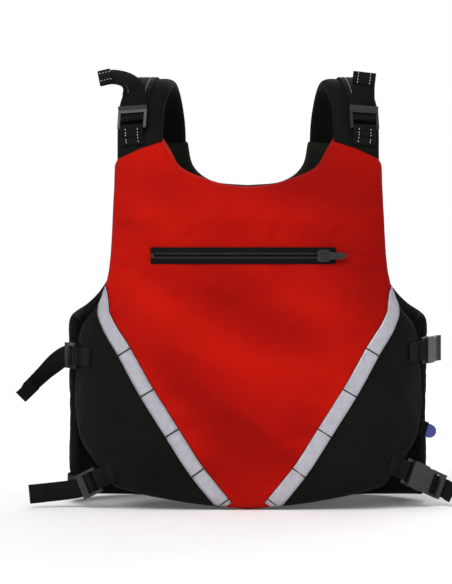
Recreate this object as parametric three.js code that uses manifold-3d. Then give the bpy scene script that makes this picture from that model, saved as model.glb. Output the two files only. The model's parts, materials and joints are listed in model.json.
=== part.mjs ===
// A zip-pocket buoyancy jacket: two foam panels hung from padded shoulder straps and closed at the sides.
// Millimetres. +X is to the right as seen from the front, the front faces -Y, +Z is up.
// The jacket stands on its hem at z = 0, and the origin is the middle of the back panel's bottom edge.
// Soft panels are drawn flat, as a pattern of (s, z): s runs round the body, z up it, d outwards.
import * as THREE from "three";
import { mergeVertices } from "three/addons/utils/BufferGeometryUtils.js";
import Module from "manifold-3d";

const wasm = await Module();
wasm.setup();

// ---------- driving dimensions ----------
const GAP = 0.3; // between pieces that touch
const HALF_DEPTH = 140; // from the middle of the body to the outside of either panel
const FRONT_FLAT = 122; // half-width of the flat middle of the front panel
const FRONT_RADIUS = 110; // bend of the front panel round the ribs
const FRONT_SWEEP = (80 * Math.PI) / 180;
const BACK_FLAT = 100;
const BACK_RADIUS = 136;
const BACK_SWEEP = (95 * Math.PI) / 180;
const COVER = 2; // nylon cover with its seam allowance
const FOAM = 12.6; // one sheet of foam; the panels hold two
const LINING = 1.5;
const WING_FOAM = 10;
const PANEL = COVER + 2 * FOAM + LINING + 3 * GAP;
const WING = COVER + WING_FOAM + LINING + 2 * GAP;
const SEWN_FOAM_EDGE = 7; // how far the foam stops short of the cover's edge
const FOAM_TOP = 443; // the foam stops here and the shoulder pads go on
const PAD_WIDTH = 60;
const PAD = 14;
const TAPE_WIDTH = 20; // reflective tape
const TAPE = 0.9;
const SIDE_WEB = 25;
const SHOULDER_WEB = 30;
const WEB = 1.6;
const BAR = 1.8; // radius of a buckle's bars
const RAIL = 3.5; // width of a buckle's side rails
const ZIP_Z = 332; // height of the zip's centre line
const ZIP_LEFT = -124;
const ZIP_RIGHT = 113;
const ZIP_TAPE = 0.8;
const ZIP_TAPE_HEIGHT = 8.5; // one tape, from the teeth to its outer edge
const POCKET_DEPTH = 150;
const SLIDER_X = 97.5;
const SLIDER_LENGTH = 15.6;
const WHISTLE_Z = 98;
const FLATNESS = 0.002; // neighbouring facets this flat are drawn as one

// ---------- solids ----------
// A closed geometry as a solid that can be cut and joined.
function toSolid(geometry) {
  const loose = geometry.index ? geometry.toNonIndexed() : geometry;
  const bare = new THREE.BufferGeometry();
  bare.setAttribute("position", loose.getAttribute("position"));
  const welded = mergeVertices(bare, 1e-4);
  const vertProperties = new Float32Array(welded.attributes.position.array);
  const triVerts = new Uint32Array(welded.index.array);
  return new wasm.Manifold(new wasm.Mesh({ numProp: 3, vertProperties, triVerts }));
}

function toGeometry(solid) {
  const mesh = solid.getMesh();
  const positions = new Float32Array(mesh.numVert * 3);
  for (let i = 0; i < mesh.numVert; i++) {
    const first = i * mesh.numProp;
    positions.set(mesh.vertProperties.subarray(first, first + 3), i * 3);
  }
  const geometry = new THREE.BufferGeometry();
  geometry.setAttribute("position", new THREE.BufferAttribute(positions, 3));
  geometry.setIndex(new THREE.BufferAttribute(mesh.triVerts, 1));
  return geometry;
}

function joined(geometries) {
  const whole = geometries.map(toSolid).reduce((sum, solid) => sum.add(solid));
  return toGeometry(whole);
}

function cut(geometry, tools) {
  const whole = tools.map(toSolid).reduce((rest, tool) => rest.subtract(tool), toSolid(geometry));
  return toGeometry(whole);
}

function kept(geometry, inside) {
  return toGeometry(toSolid(geometry).intersect(toSolid(inside)));
}

function block(x0, x1, y0, y1, z0, z1) {
  const box = new THREE.BoxGeometry(x1 - x0, y1 - y0, z1 - z0);
  return box.translate((x0 + x1) / 2, (y0 + y1) / 2, (z0 + z1) / 2);
}

// A round bar along y.
function bar(x, z, radius, halfLength, sides = 10) {
  return new THREE.CylinderGeometry(radius, radius, 2 * halfLength, sides).translate(x, 0, z);
}

// A profile of [x, z] points, carried along y from -halfWidth to halfWidth.
function profile(points, halfWidth) {
  const shape = new THREE.Shape(points.map(([x, z]) => new THREE.Vector2(x, z)));
  const solid = new THREE.ExtrudeGeometry(shape, { depth: 2 * halfWidth, bevelEnabled: false });
  return solid.rotateX(Math.PI / 2).translate(0, halfWidth, 0);
}

// An outline of [x, y] points, carried up z.
function plate(points, z0, z1) {
  const shape = new THREE.Shape(points.map(([x, y]) => new THREE.Vector2(x, y)));
  const solid = new THREE.ExtrudeGeometry(shape, { depth: z1 - z0, bevelEnabled: false });
  return solid.translate(0, 0, z0);
}

// ---------- bending a flat pattern round the body ----------
// One panel's cross-section: corners of equal facets, each with the mitre that keeps layers parallel.
function crossSection(flat, radius, sweep, facets) {
  const corners = [{ s: 0, x: 0, back: 0 }];
  for (let k = 0; k <= facets; k++) {
    const angle = (sweep * k) / facets;
    const x = flat + radius * Math.sin(angle);
    const back = radius * (1 - Math.cos(angle));
    corners.push({ s: flat + radius * angle, x, back });
  }
  const headings = [];
  for (let k = 1; k < corners.length; k++) {
    const run = corners[k].x - corners[k - 1].x;
    headings.push(Math.atan2(corners[k].back - corners[k - 1].back, run));
  }
  corners.forEach((corner, k) => {
    const before = headings[Math.max(k - 1, 0)];
    const after = headings[Math.min(k, headings.length - 1)];
    const reach = 1 / Math.cos((after - before) / 2);
    const angle = (before + after) / 2;
    corner.outX = reach * Math.sin(angle);
    corner.outBack = -reach * Math.cos(angle);
  });
  return corners;
}

const FRONT = crossSection(FRONT_FLAT, FRONT_RADIUS, FRONT_SWEEP, 5);
const BACK = crossSection(BACK_FLAT, BACK_RADIUS, BACK_SWEEP, 6);

// How far each panel leans towards the neck: [z, lean].
const FRONT_LEAN = [
  [0, 8],
  [60, 0],
  [380, 0],
  [440, 16],
  [520, 56],
];
const BACK_LEAN = [
  [0, 0],
  [300, 0],
  [500, 50],
];

function along(table, z) {
  let k = 1;
  while (k < table.length - 1 && z > table[k][0]) k++;
  const [z0, lean0] = table[k - 1];
  const [z1, lean1] = table[k];
  return lean0 + ((lean1 - lean0) * (z - z0)) / (z1 - z0);
}

// Where the pattern's point (s, d) lies across the body: x, and how far it is set back.
function across(corners, s, d) {
  const size = Math.abs(s);
  let k = 1;
  while (k < corners.length - 1 && size > corners[k].s) k++;
  const a = corners[k - 1];
  const b = corners[k];
  const t = (size - a.s) / (b.s - a.s);
  const mix = (name) => a[name] + (b[name] - a[name]) * t;
  const x = mix("x") + d * mix("outX");
  const back = mix("back") + d * mix("outBack");
  return { x: s < 0 ? -x : x, back };
}

function onFront(s, z, d) {
  const { x, back } = across(FRONT, s, d);
  return new THREE.Vector3(x, -HALF_DEPTH + back + along(FRONT_LEAN, z), z);
}

// Seen from behind, s grows to the right, so it grows towards -X.
function onBack(s, z, d) {
  const { x, back } = across(BACK, s, d);
  return new THREE.Vector3(-x, HALF_DEPTH - back - along(BACK_LEAN, z), z);
}

// The distance round the front panel at which the outline stands x from the middle.
function round(x) {
  const size = Math.abs(x);
  if (size <= FRONT_FLAT) return x;
  const angle = Math.asin(Math.min((size - FRONT_FLAT) / FRONT_RADIUS, 1));
  return Math.sign(x) * (FRONT_FLAT + FRONT_RADIUS * angle);
}

// Splits every triangle where one coordinate takes one of the values.
function scored(triangles, axis, values) {
  let pieces = triangles;
  for (const value of values) {
    const sideOf = (p) => (Math.abs(p[axis] - value) < 1e-3 ? 0 : Math.sign(p[axis] - value));
    const split = [];
    for (const triangle of pieces) {
      const side = triangle.map(sideOf);
      const halves = [[], []];
      triangle.forEach((p, i) => {
        const next = (i + 1) % 3;
        if (side[i] >= 0) halves[0].push(p);
        if (side[i] <= 0) halves[1].push(p);
        if (side[i] * side[next] < 0) {
          const q = triangle[next];
          const [low, high] = p[axis] < q[axis] ? [p, q] : [q, p];
          const point = low.clone().lerp(high, (value - low[axis]) / (high[axis] - low[axis]));
          point[axis] = value;
          halves.forEach((half) => half.push(point));
        }
      });
      for (const half of halves) {
        for (let k = 2; k < half.length; k++) split.push([half[0], half[k - 1], half[k]]);
      }
    }
    pieces = split;
  }
  return pieces;
}

// Bends a flat piece (x = s, y = z, z = d) onto a panel.
function bent(geometry, corners, leans, place) {
  const loose = toGeometry(toSolid(geometry)).toNonIndexed();
  const position = loose.getAttribute("position");
  let triangles = [];
  for (let i = 0; i < position.count; i += 3) {
    triangles.push([0, 1, 2].map((k) => new THREE.Vector3().fromBufferAttribute(position, i + k)));
  }
  const folds = corners.slice(1, -1).map((corner) => corner.s);
  triangles = scored(triangles, "x", [...folds, ...folds.map((s) => -s)]);
  triangles = scored(triangles, "y", leans.slice(1, -1).map(([z]) => z));
  const points = triangles.flat().map((p) => place(p.x, p.y, p.z));
  const folded = toSolid(new THREE.BufferGeometry().setFromPoints(points));
  return toGeometry(folded.simplify(FLATNESS));
}

const toFront = (geometry) => bent(geometry, FRONT, FRONT_LEAN, onFront);
const toBack = (geometry) => bent(geometry, BACK, BACK_LEAN, onBack);

// ---------- straps ----------
// A flat strap carried along points; wide lies across it, and thickness may change along it.
function strap(points, wide, width, thickness) {
  const last = points.length - 1;
  const corners = points.map((point, i) => {
    const before = points[i].clone().sub(points[Math.max(i - 1, 0)]);
    const after = points[Math.min(i + 1, last)].clone().sub(points[i]);
    if (i === 0) before.copy(after);
    if (i === last) after.copy(before);
    before.normalize();
    after.normalize();
    const heading = before.clone().add(after).normalize();
    const side = (Array.isArray(wide) ? wide[i] : wide).clone();
    side.addScaledVector(heading, -side.dot(heading)).normalize();
    const reach = 1 / Math.max(heading.dot(after), 0.5);
    const thick = (Array.isArray(thickness) ? thickness[i] : thickness) / 2;
    const up = new THREE.Vector3().crossVectors(heading, side).multiplyScalar(thick * reach);
    side.multiplyScalar(width / 2);
    return [
      point.clone().sub(side).sub(up),
      point.clone().add(side).sub(up),
      point.clone().add(side).add(up),
      point.clone().sub(side).add(up),
    ];
  });
  const faces = [];
  const quad = (a, b, c, d) => faces.push(a, b, c, a, c, d);
  for (let i = 0; i < last; i++) {
    const [from, to] = [corners[i], corners[i + 1]];
    quad(from[0], from[1], to[1], to[0]);
    quad(from[1], from[2], to[2], to[1]);
    quad(from[3], to[3], to[2], from[2]); // split the same way as the face below, to keep a twist thick
    quad(from[3], from[0], to[0], to[3]);
  }
  quad(corners[0][0], corners[0][3], corners[0][2], corners[0][1]);
  quad(corners[last][0], corners[last][1], corners[last][2], corners[last][3]);
  return new THREE.BufferGeometry().setFromPoints(faces);
}

// ---------- naming and colour ----------
const jacket = new THREE.Group();

function finish(color, roughness, metalness = 0) {
  return new THREE.MeshStandardMaterial({ color, roughness, metalness });
}

const RED_NYLON = finish(0xc4140c, 0.75);
const BLACK_NYLON = finish(0x1a1a19, 0.8);
const LINING_CLOTH = finish(0x23231f, 0.85);
const FOAM_SHEET = finish(0xd9d4c8, 0.9);
const WEBBING = finish(0x141413, 0.8);
const REFLECTIVE = finish(0xaeabb3, 0.4, 0.3);
const ACETAL = finish(0x2b2b29, 0.45);
const ZIP_CLOTH = finish(0x0f0f0f, 0.85);
const WHISTLE_PLASTIC = finish(0x4b4b8c, 0.25);

function add(name, geometry, material, parent = jacket) {
  const mesh = new THREE.Mesh(geometry, material);
  mesh.name = name;
  parent.add(mesh);
  return mesh;
}

// ---------- patterns ----------
function smooth(points, steps) {
  const curve = new THREE.SplineCurve(points.map(([x, y]) => new THREE.Vector2(x, y)));
  return curve.getPoints(steps).map((p) => [p.x, p.y]);
}

// A half pattern runs from the middle of the hem, round the right side, to the middle of the neck.
function bothHalves(half) {
  const other = half.slice(1, -1).reverse().map(([s, z]) => [-s, z]);
  return [...half, ...other];
}

// Each point moved inwards, square to the outline.
function inset(points, distance) {
  const count = points.length;
  return points.map(([x, z], i) => {
    const [px, pz] = points[(i + count - 1) % count];
    const [nx, nz] = points[(i + 1) % count];
    const before = new THREE.Vector2(x - px, z - pz).normalize();
    const after = new THREE.Vector2(nx - x, nz - z).normalize();
    const heading = before.add(after).normalize();
    const reach = distance / Math.max(heading.dot(after), 0.5);
    return [x - heading.y * reach, z + heading.x * reach];
  });
}

const NECK_CORNER = [112, 485];
const ARM_CORNER = [180, 449];
const SIDE_TOP = [221, 244];
const HEM_CORNER = [182, 28];
const frontHalf = [
  ...smooth([[0, 0], [78, 8], HEM_CORNER], 3),
  ...smooth([HEM_CORNER, [209, 62], [224, 88], [230, 127], [230, 160], [227, 218], SIDE_TOP], 8).slice(1),
  ...smooth([SIDE_TOP, [203, 267], [193, 290], [186, 330], [182, 400], ARM_CORNER], 6).slice(1),
  ...smooth([ARM_CORNER, [174, 459], [152, 471], NECK_CORNER], 3).slice(1),
  ...smooth([NECK_CORNER, [101, 467], [88, 446], [60, 433], [0, 421]], 5).slice(1),
].map(([x, z]) => [round(x), z]);
const frontOutline = bothHalves(frontHalf);

const WING_EDGE = BACK[BACK.length - 1].s; // the wing's front edge
const WING_BOTTOM = 10;
const WING_TOP = 244;
const BACK_NECK = [80, 474];
const BACK_ARM = [[245, 259], [200, 290], [172, 350], [156, 410], [150, 458]];
const backHalf = [
  [0, 0],
  [150, 0],
  [WING_EDGE, WING_BOTTOM],
  [WING_EDGE, WING_TOP],
  ...smooth([[WING_EDGE - 8, WING_TOP + 4], ...BACK_ARM], 7),
  [144, 470],
  ...smooth([BACK_NECK, [72, 440], [45, 420], [0, 415]], 4),
];
const backOutline = bothHalves(backHalf);

// The seam between the red middle and the black sides of the front: a V from the arms to the hem.
const SEAM_HEM = [[14, -20], [27, 0], [68, 52], [100, 102], [133, 155]];
const SEAM_ARM = [[162, 207], [180, 236], [189, 258], [190, 276], [200, 300]];
const seam = smooth([...SEAM_HEM, ...SEAM_ARM], 10).map(([x, z]) => [round(x), z]);

function vRegion(shift) {
  const right = seam.map(([s, z]) => [s + shift, z]);
  const far = 340;
  const left = [...right].reverse().map(([s, z]) => [-s, z]);
  const top = seam[seam.length - 1][1];
  return [...right, [far, top], [far, 540], [-far, 540], [-far, top], ...left];
}

const ZIP_SLOT = 9; // half the height of the slot behind the zip
const POCKET_SIDE = 4; // the pocket runs this far past the slot's ends
const slot = { left: ZIP_LEFT - 1, right: ZIP_RIGHT + 1, low: ZIP_Z - ZIP_SLOT, high: ZIP_Z + ZIP_SLOT };

// ---------- front panel ----------
function frontPanel() {
  const whole = plate(frontOutline, -COVER, 0);
  const redRegion = plate(vRegion(-GAP / 2 - 0.1), -COVER - 1, 1);
  const blackCut = plate(vRegion(GAP / 2 + 0.1), -COVER - 1, 1);
  const mouth = block(slot.left, slot.right, slot.low, slot.high, -COVER - 1, 1);
  add("front_cover_centre", toFront(cut(kept(whole, redRegion), [mouth])), RED_NYLON);
  const sides = cut(whole, [blackCut]);
  for (const [name, side] of [["left", -1], ["right", 1]]) {
    const half = side < 0 ? block(-360, 0, -20, 560, -9, 9) : block(0, 360, -20, 560, -9, 9);
    add(`front_cover_${name}`, toFront(kept(sides, half)), BLACK_NYLON);
    const outer = seam.map(([s, z]) => [side * s, z]);
    const strip = ribbonPattern(outer, TAPE_WIDTH);
    const cloth = kept(plate(strip, GAP, GAP + TAPE), plate(frontOutline, 0, 5));
    add(`reflective_tape_${name}`, toFront(cloth), REFLECTIVE);
  }

  const foamOutline = inset(frontOutline, SEWN_FOAM_EDGE);
  const belowPads = block(-360, 360, -20, FOAM_TOP, -60, 9);
  const outerFace = -COVER - GAP;
  const innerFace = outerFace - FOAM - GAP;
  const pocket = pocketBox(0);
  const { left, right, low, high } = pocket;
  const window = block(left - GAP, right + GAP, low - GAP, high + GAP, -60, 9);
  const outerSheet = kept(plate(foamOutline, outerFace - FOAM, outerFace), belowPads);
  add("front_foam_outer", toFront(cut(outerSheet, [window])), FOAM_SHEET);
  const innerSheet = kept(plate(foamOutline, innerFace - FOAM, innerFace), belowPads);
  add("front_foam_inner", toFront(innerSheet), FOAM_SHEET);
  add("front_lining", toFront(plate(frontOutline, -PANEL, -PANEL + LINING)), LINING_CLOTH);
  add("pocket_bag", toFront(pocketBag(pocket)), LINING_CLOTH);
}

// A flat ribbon drawn along a line of [s, z] points.
function ribbonPattern(line, width) {
  const last = line.length - 1;
  const sides = line.map(([s, z], i) => {
    const [s0, z0] = line[Math.max(i - 1, 0)];
    const [s1, z1] = line[Math.min(i + 1, last)];
    const heading = new THREE.Vector2(s1 - s0, z1 - z0).normalize();
    return [
      [s + (heading.y * width) / 2, z - (heading.x * width) / 2],
      [s - (heading.y * width) / 2, z + (heading.x * width) / 2],
    ];
  });
  return [...sides.map(([right]) => right), ...sides.map(([, left]) => left).reverse()];
}

function pocketBox(wall) {
  return {
    left: slot.left - POCKET_SIDE + wall,
    right: slot.right + POCKET_SIDE - wall,
    low: slot.low - POCKET_DEPTH + wall,
    high: slot.high + POCKET_SIDE - wall,
    front: -COVER - GAP - wall,
    back: -COVER - GAP - FOAM + wall,
  };
}

// The pocket is a cloth bag in a window of the outer foam sheet, open behind the zip.
function pocketBag(outside) {
  const inside = pocketBox(1);
  const solid = (p) => block(p.left, p.right, p.low, p.high, p.back, p.front);
  const mouth = block(slot.left, slot.right, slot.low, slot.high, inside.front - 1, 1);
  return cut(solid(outside), [solid(inside), mouth]);
}

// ---------- zip ----------
const TEETH_IN = 0.6; // half the groove between the two rows of teeth
const TEETH_OUT = 1.9;
const TEETH_BACK = -0.9;
const TEETH_FRONT = 2.3;

function zip() {
  for (const [name, side] of [["upper", 1], ["lower", -1]]) {
    const near = ZIP_Z + side * (TEETH_OUT + GAP);
    const far = near + side * ZIP_TAPE_HEIGHT;
    const [low, high] = [Math.min(near, far), Math.max(near, far)];
    const tape = block(ZIP_LEFT - 3, ZIP_RIGHT + 3, low, high, GAP, GAP + ZIP_TAPE);
    add(`zip_tape_${name}`, toFront(tape), ZIP_CLOTH);
    const rows = [ZIP_Z + side * TEETH_IN, ZIP_Z + side * TEETH_OUT].sort((a, b) => a - b);
    const teeth = block(ZIP_LEFT + 1.8, ZIP_RIGHT - 1, rows[0], rows[1], TEETH_BACK, TEETH_FRONT);
    add(`zip_teeth_${name}`, toFront(teeth), ACETAL);
  }
  const above = GAP + ZIP_TAPE + GAP;
  const stop = block(ZIP_LEFT - 1, ZIP_LEFT + 1.5, ZIP_Z - 3.5, ZIP_Z + 3.5, above, above + 1.6);
  add("zip_bottom_stop", toFront(stop), ACETAL);
}

// The slider in its own frame: x along the zip, y up, z outwards from the cover.
const PLATE = 1.8; // a slider plate's thickness
const CROWN = 1.3; // half the width of the arch that holds the puller
const PULL_BAR = 0.9;
function zipSlider() {
  const half = SLIDER_LENGTH / 2;
  const front = TEETH_FRONT + GAP;
  const back = TEETH_BACK - GAP;
  const tapeTop = GAP + ZIP_TAPE + GAP;
  const shield = [[-half, -6], [-half + 3, -8], [half, -8], [half, 8], [-half + 3, 8], [-half, 6]];
  const rims = [-1, 1].flatMap((side) => {
    const [low, high] = side > 0 ? [4.8, 6.4] : [-6.4, -4.8];
    return [
      block(-half + 1, half, low, high, tapeTop, front + 0.1),
      block(-half + 1, half, low, high, back - 0.1, 0),
    ];
  });
  const pullHeight = front + PLATE + GAP + PULL_BAR + 0.4;
  const roof = pullHeight + PULL_BAR + GAP;
  const body = joined([
    plate(shield, front, front + PLATE),
    block(-half + 1, half, -6.4, 6.4, back - PLATE, back),
    block(half - 3.5, half - 1, -TEETH_IN + GAP, TEETH_IN - GAP, back - 0.1, front + 0.1),
    ...rims,
    block(-5, -3.4, -CROWN, CROWN, front + PLATE - 0.1, roof + 1.5),
    block(3.4, 5, -CROWN, CROWN, front + PLATE - 0.1, roof + 1.5),
    block(-5, 5, -CROWN, CROWN, roof, roof + 1.5),
  ]);
  const frame = new THREE.Group();
  frame.position.set(SLIDER_X, -HALF_DEPTH, ZIP_Z);
  frame.rotation.x = Math.PI / 2;
  jacket.add(frame);
  add("zip_slider", body, ACETAL, frame);

  const arm = 3.6;
  const leaf = [[6.5, -5.4], [28, -3.6], [30, -2.2], [30, 2.2], [28, 3.6], [6.5, 5.4]];
  const eye = new THREE.CylinderGeometry(1.3, 1.3, 6, 12).rotateX(Math.PI / 2).translate(26, 0, 0);
  const puller = joined([
    bar(0, 0, PULL_BAR, arm, 8),
    block(0, 7.5, CROWN + 0.5, arm, -0.8, 0.8),
    block(0, 7.5, -arm, -CROWN - 0.5, -0.8, 0.8),
    cut(plate(leaf, -0.8, 0.8), [eye]),
  ]);
  const pivot = new THREE.Group();
  pivot.position.z = pullHeight;
  frame.add(pivot);
  add("zip_pull", puller, ACETAL, pivot);
}

// ---------- back panel ----------
const BACK_SEAM = 118; // the red middle meets the black wings here
const BACK_FOAM_EDGE = 160;
function backPanel() {
  const whole = plate(backOutline, -COVER, 0);
  const tall = (from, to) => block(from, to, -20, 560, -60, 9);
  add("back_cover_centre", toBack(kept(whole, tall(-BACK_SEAM, BACK_SEAM))), RED_NYLON);
  const foamOutline = inset(backOutline, SEWN_FOAM_EDGE);
  const hemFoot = (low, high) => block(-130, 130, 0, 20, low, high);
  const belowPads = block(-BACK_FOAM_EDGE, BACK_FOAM_EDGE, -20, FOAM_TOP - 34, -60, 9);
  let face = -COVER - GAP;
  for (const name of ["outer", "inner"]) {
    const sheet = kept(plate(foamOutline, face - FOAM, face), belowPads);
    add(`back_foam_${name}`, toBack(joined([sheet, hemFoot(face - FOAM, face)])), FOAM_SHEET);
    face -= FOAM + GAP;
  }
  const middle = tall(-BACK_FOAM_EDGE - 3, BACK_FOAM_EDGE + 3);
  add("back_lining", toBack(kept(plate(backOutline, -PANEL, -PANEL + LINING), middle)), LINING_CLOTH);

  // Seen from behind, the jacket's left side is at positive s.
  for (const [name, side] of [["left", 1], ["right", -1]]) {
    const span = (from) => (side > 0 ? tall(from, 400) : tall(-400, -from));
    const foamFace = -COVER - GAP;
    add(`wing_cover_${name}`, toBack(kept(whole, span(BACK_SEAM + GAP))), BLACK_NYLON);
    const foam = plate(foamOutline, foamFace - WING_FOAM, foamFace);
    add(`wing_foam_${name}`, toBack(kept(foam, span(BACK_FOAM_EDGE + 4))), FOAM_SHEET);
    const lining = plate(backOutline, -WING, -WING + LINING);
    add(`wing_lining_${name}`, toBack(kept(lining, span(BACK_FOAM_EDGE + 4))), LINING_CLOTH);
  }
}

frontPanel();
zip();
zipSlider();
backPanel();

// ---------- shoulder pads ----------
// The middle of a pad's thickness, from the front foam over the shoulder to the back foam:
// x from the jacket's middle, y, z, and how far the pad curves with the panel (1 front, -1 back).
const PAD_CLEAR = 0.6; // under the faceted covers
function padUnderPanel(z, x, hug) {
  const leans = hug > 0 ? FRONT_LEAN : BACK_LEAN;
  const slope = (along(leans, z + 5) - along(leans, z - 5)) / 10;
  const inwards = along(leans, z) + COVER + PAD_CLEAR + (PAD / 2) * Math.hypot(1, slope);
  return { x, y: hug * (inwards - HALF_DEPTH), z, hug };
}
const PAD_LINE = [
  padUnderPanel(FOAM_TOP + 5, 141, 1),
  padUnderPanel(470, 141, 1),
  padUnderPanel(494, 141, 1),
  { x: 139, y: -68, z: 522, hug: 0.8 },
  { x: 133, y: -46, z: 541, hug: 0.45 },
  { x: 128, y: -20, z: 550, hug: 0.1 },
  { x: 124, y: 8, z: 550, hug: -0.1 },
  { x: 120, y: 34, z: 540, hug: -0.35 },
  { x: 116, y: 56, z: 521, hug: -0.7 },
  { x: 113, y: 73, z: 497, hug: -0.9 },
  padUnderPanel(470, 112, -1),
  padUnderPanel(442, 112, -1),
  padUnderPanel(FOAM_TOP - 30, 112, -1),
];

function padNormal(k) {
  const last = PAD_LINE.length - 1;
  const angle = (i) => {
    const from = PAD_LINE[Math.min(Math.max(i, 0), last - 1)];
    const to = PAD_LINE[Math.min(Math.max(i, 0), last - 1) + 1];
    return Math.atan2(to.z - from.z, to.y - from.y);
  };
  const before = angle(k - 1);
  const after = angle(Math.min(k, last - 1));
  const reach = 1 / Math.cos((after - before) / 2);
  const heading = (before + after) / 2;
  return [-reach * Math.sin(heading), reach * Math.cos(heading)];
}

// A point on a pad: side -1 or 1, a across it, k along PAD_LINE, up out of its middle.
function onPad(side, a, k, up) {
  const i = Math.min(Math.floor(k), PAD_LINE.length - 2);
  const t = k - i;
  const mix = (from, to) => from + (to - from) * t;
  const [p, q] = [PAD_LINE[i], PAD_LINE[i + 1]];
  const [ny, nz] = padNormal(i).map((n, j) => mix(n, padNormal(i + 1)[j]));
  const hug = mix(p.hug, q.hug);
  const x = mix(p.x, q.x) + a;
  const table = (hug > 0 ? FRONT : BACK).map((corner) => [corner.x, corner.back]);
  const y = mix(p.y, q.y) + up * ny + hug * along(table, x);
  return new THREE.Vector3(side * x, y, mix(p.z, q.z) + up * nz);
}

// A box of (a, k, up) bent onto a pad, with a corner at every bend of the pad.
function padBox(side, a0, a1, k0, k1, up0, up1, columns) {
  const rows = k1 - k0;
  const box = new THREE.BoxGeometry(a1 - a0, rows, up1 - up0, columns, rows, 1);
  box.translate((a0 + a1) / 2, (k0 + k1) / 2, (up0 + up1) / 2);
  const loose = box.toNonIndexed().getAttribute("position");
  const points = [];
  for (let i = 0; i < loose.count; i++) {
    points.push(onPad(side, loose.getX(i), loose.getY(i), loose.getZ(i)));
  }
  if (side < 0) points.reverse(); // a mirrored solid's triangles turn the other way
  return new THREE.BufferGeometry().setFromPoints(points);
}

// ---------- buckles ----------
// A buckle's own frame: x along the strap away from its anchor, y across it, z out of the surface below.
// The anchored strap lies on the surface, loops round bar A and is sewn down; the loaded strap comes back
// from the far side, turns round bar B and leaves under the lip as a tail.
const LEG = GAP + WEB / 2; // height of the middle of a strap that lies on the surface
const TURN = BAR + GAP + WEB / 2; // radius of a strap's middle round a bar
const BAR_HEIGHT = LEG + TURN;
const TAIL_HEIGHT = LEG + WEB + GAP;
const LIP_UNDERSIDE = TAIL_HEIGHT + WEB / 2 + GAP;
const BAR_B = 13; // bar B's distance from bar A in a ladder lock
const LEG_END = 7; // the turned strap's lower leg ends this far past bar B

function frameAt(origin, x, z) {
  const along = x.clone().normalize();
  const out = z.clone().addScaledVector(along, -z.dot(along)).normalize();
  const wide = new THREE.Vector3().crossVectors(out, along);
  return new THREE.Matrix4().makeBasis(along, wide, out).setPosition(origin);
}

const inFrame = (frame, x, z, y = 0) => new THREE.Vector3(x, y, z).applyMatrix4(frame);
const wideOf = (frame) => new THREE.Vector3(0, 1, 0).transformDirection(frame);

function groupAt(frame) {
  const group = new THREE.Group();
  frame.decompose(group.position, group.quaternion, group.scale);
  jacket.add(group);
  return group;
}

// The lip that pinches the tail against the loaded strap.
function lip(barX, halfWidth) {
  const low = LIP_UNDERSIDE;
  const outline = [
    [barX + 8, low],
    [barX + 13, low],
    [barX + 18, low + 3.2],
    [barX + 17.2, low + 4.8],
    [barX + 12, low + 2.2],
    [barX + 8, low + 2.2],
  ];
  return profile(outline, halfWidth);
}

function ladderLock(web) {
  const inner = web / 2 + 0.7;
  const outer = inner + RAIL;
  const rail = (y0, y1) => block(0, BAR_B + 14, y0, y1, BAR_HEIGHT - BAR, BAR_HEIGHT + BAR + 0.4);
  return joined([
    bar(0, BAR_HEIGHT, BAR, outer),
    bar(BAR_B, BAR_HEIGHT, BAR, outer - 0.5),
    rail(inner, outer),
    rail(-outer, -inner),
    lip(BAR_B, outer),
  ]);
}

// The sewn loop round bar A, and the flat leg it is sewn to, which starts at x = start.
function anchorLoop(start) {
  const turn = [60, 25, -10, -45, -80].map((degrees) => {
    const angle = (degrees * Math.PI) / 180;
    return [TURN * Math.cos(angle), BAR_HEIGHT + TURN * Math.sin(angle)];
  });
  const top = LEG + WEB + 0.25;
  return [[start + 1, top], [-8, top], [-1.5, BAR_HEIGHT + TURN - 0.2], ...turn, [0, LEG], [start, LEG]];
}

// The loaded strap's turn round bar B, from its lower leg to the lip.
function turnRound(barX) {
  const turn = [-90, -135, 180, 135, 90, 45].map((degrees) => {
    const angle = (degrees * Math.PI) / 180;
    return [barX + TURN * Math.cos(angle), BAR_HEIGHT + TURN * Math.sin(angle)];
  });
  const exit = [[barX + 3, BAR_HEIGHT + 0.3], [barX + 5.6, TAIL_HEIGHT], [barX + 12, TAIL_HEIGHT]];
  return [[barX + LEG_END, LEG], ...turn, ...exit, [barX + 20, TAIL_HEIGHT + 1.6]];
}

const vectorsIn = (frame, points) => points.map(([x, z]) => inFrame(frame, x, z));

// ---------- shoulders ----------
const LOCK_K = 1.9; // the shoulder lock's anchor bar, along PAD_LINE
const LOCK_ACROSS = 10; // towards the arm from the pad's middle
const STRAP_END = 9.6; // the shoulder strap is sewn into the back panel here, along PAD_LINE
const FOLD = 3 * WEB; // the hemmed end of a strap
const PAD_COLUMNS = 4;

// A tail past its lip: where its middle goes, from the lip, and which way its width lies there.
// One with no wide stays in line with its buckle.
// The right one stands up. The left one falls over towards the arm.
const SHOULDER_TAILS = {
  right: [
    { run: [0, 1, 10], wide: [-1, 0, 0] },
    { run: [0, 3, 24], wide: [-1, 0, 0] },
    { run: [1, 6, 25.5], wide: [-1, 0, 0] },
    { run: [2, 9, 42], wide: [-1, 0, 0] },
  ],
  left: [
    { run: [1, 2, 12], wide: [-1, 0, 0] },
    { run: [0, 3, 23], wide: [-0.9, -0.3, -0.1] },
    { run: [-9, 4, 33], wide: [-0.5, -0.7, -0.45] },
    { run: [-26, 4, 37], wide: [-0.1, -0.8, -0.6] },
    { run: [-28, 4, 37], wide: [0, -0.8, -0.6] },
    { run: [-44, 4, 34], wide: [0, -0.8, -0.6] },
  ],
};

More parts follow.
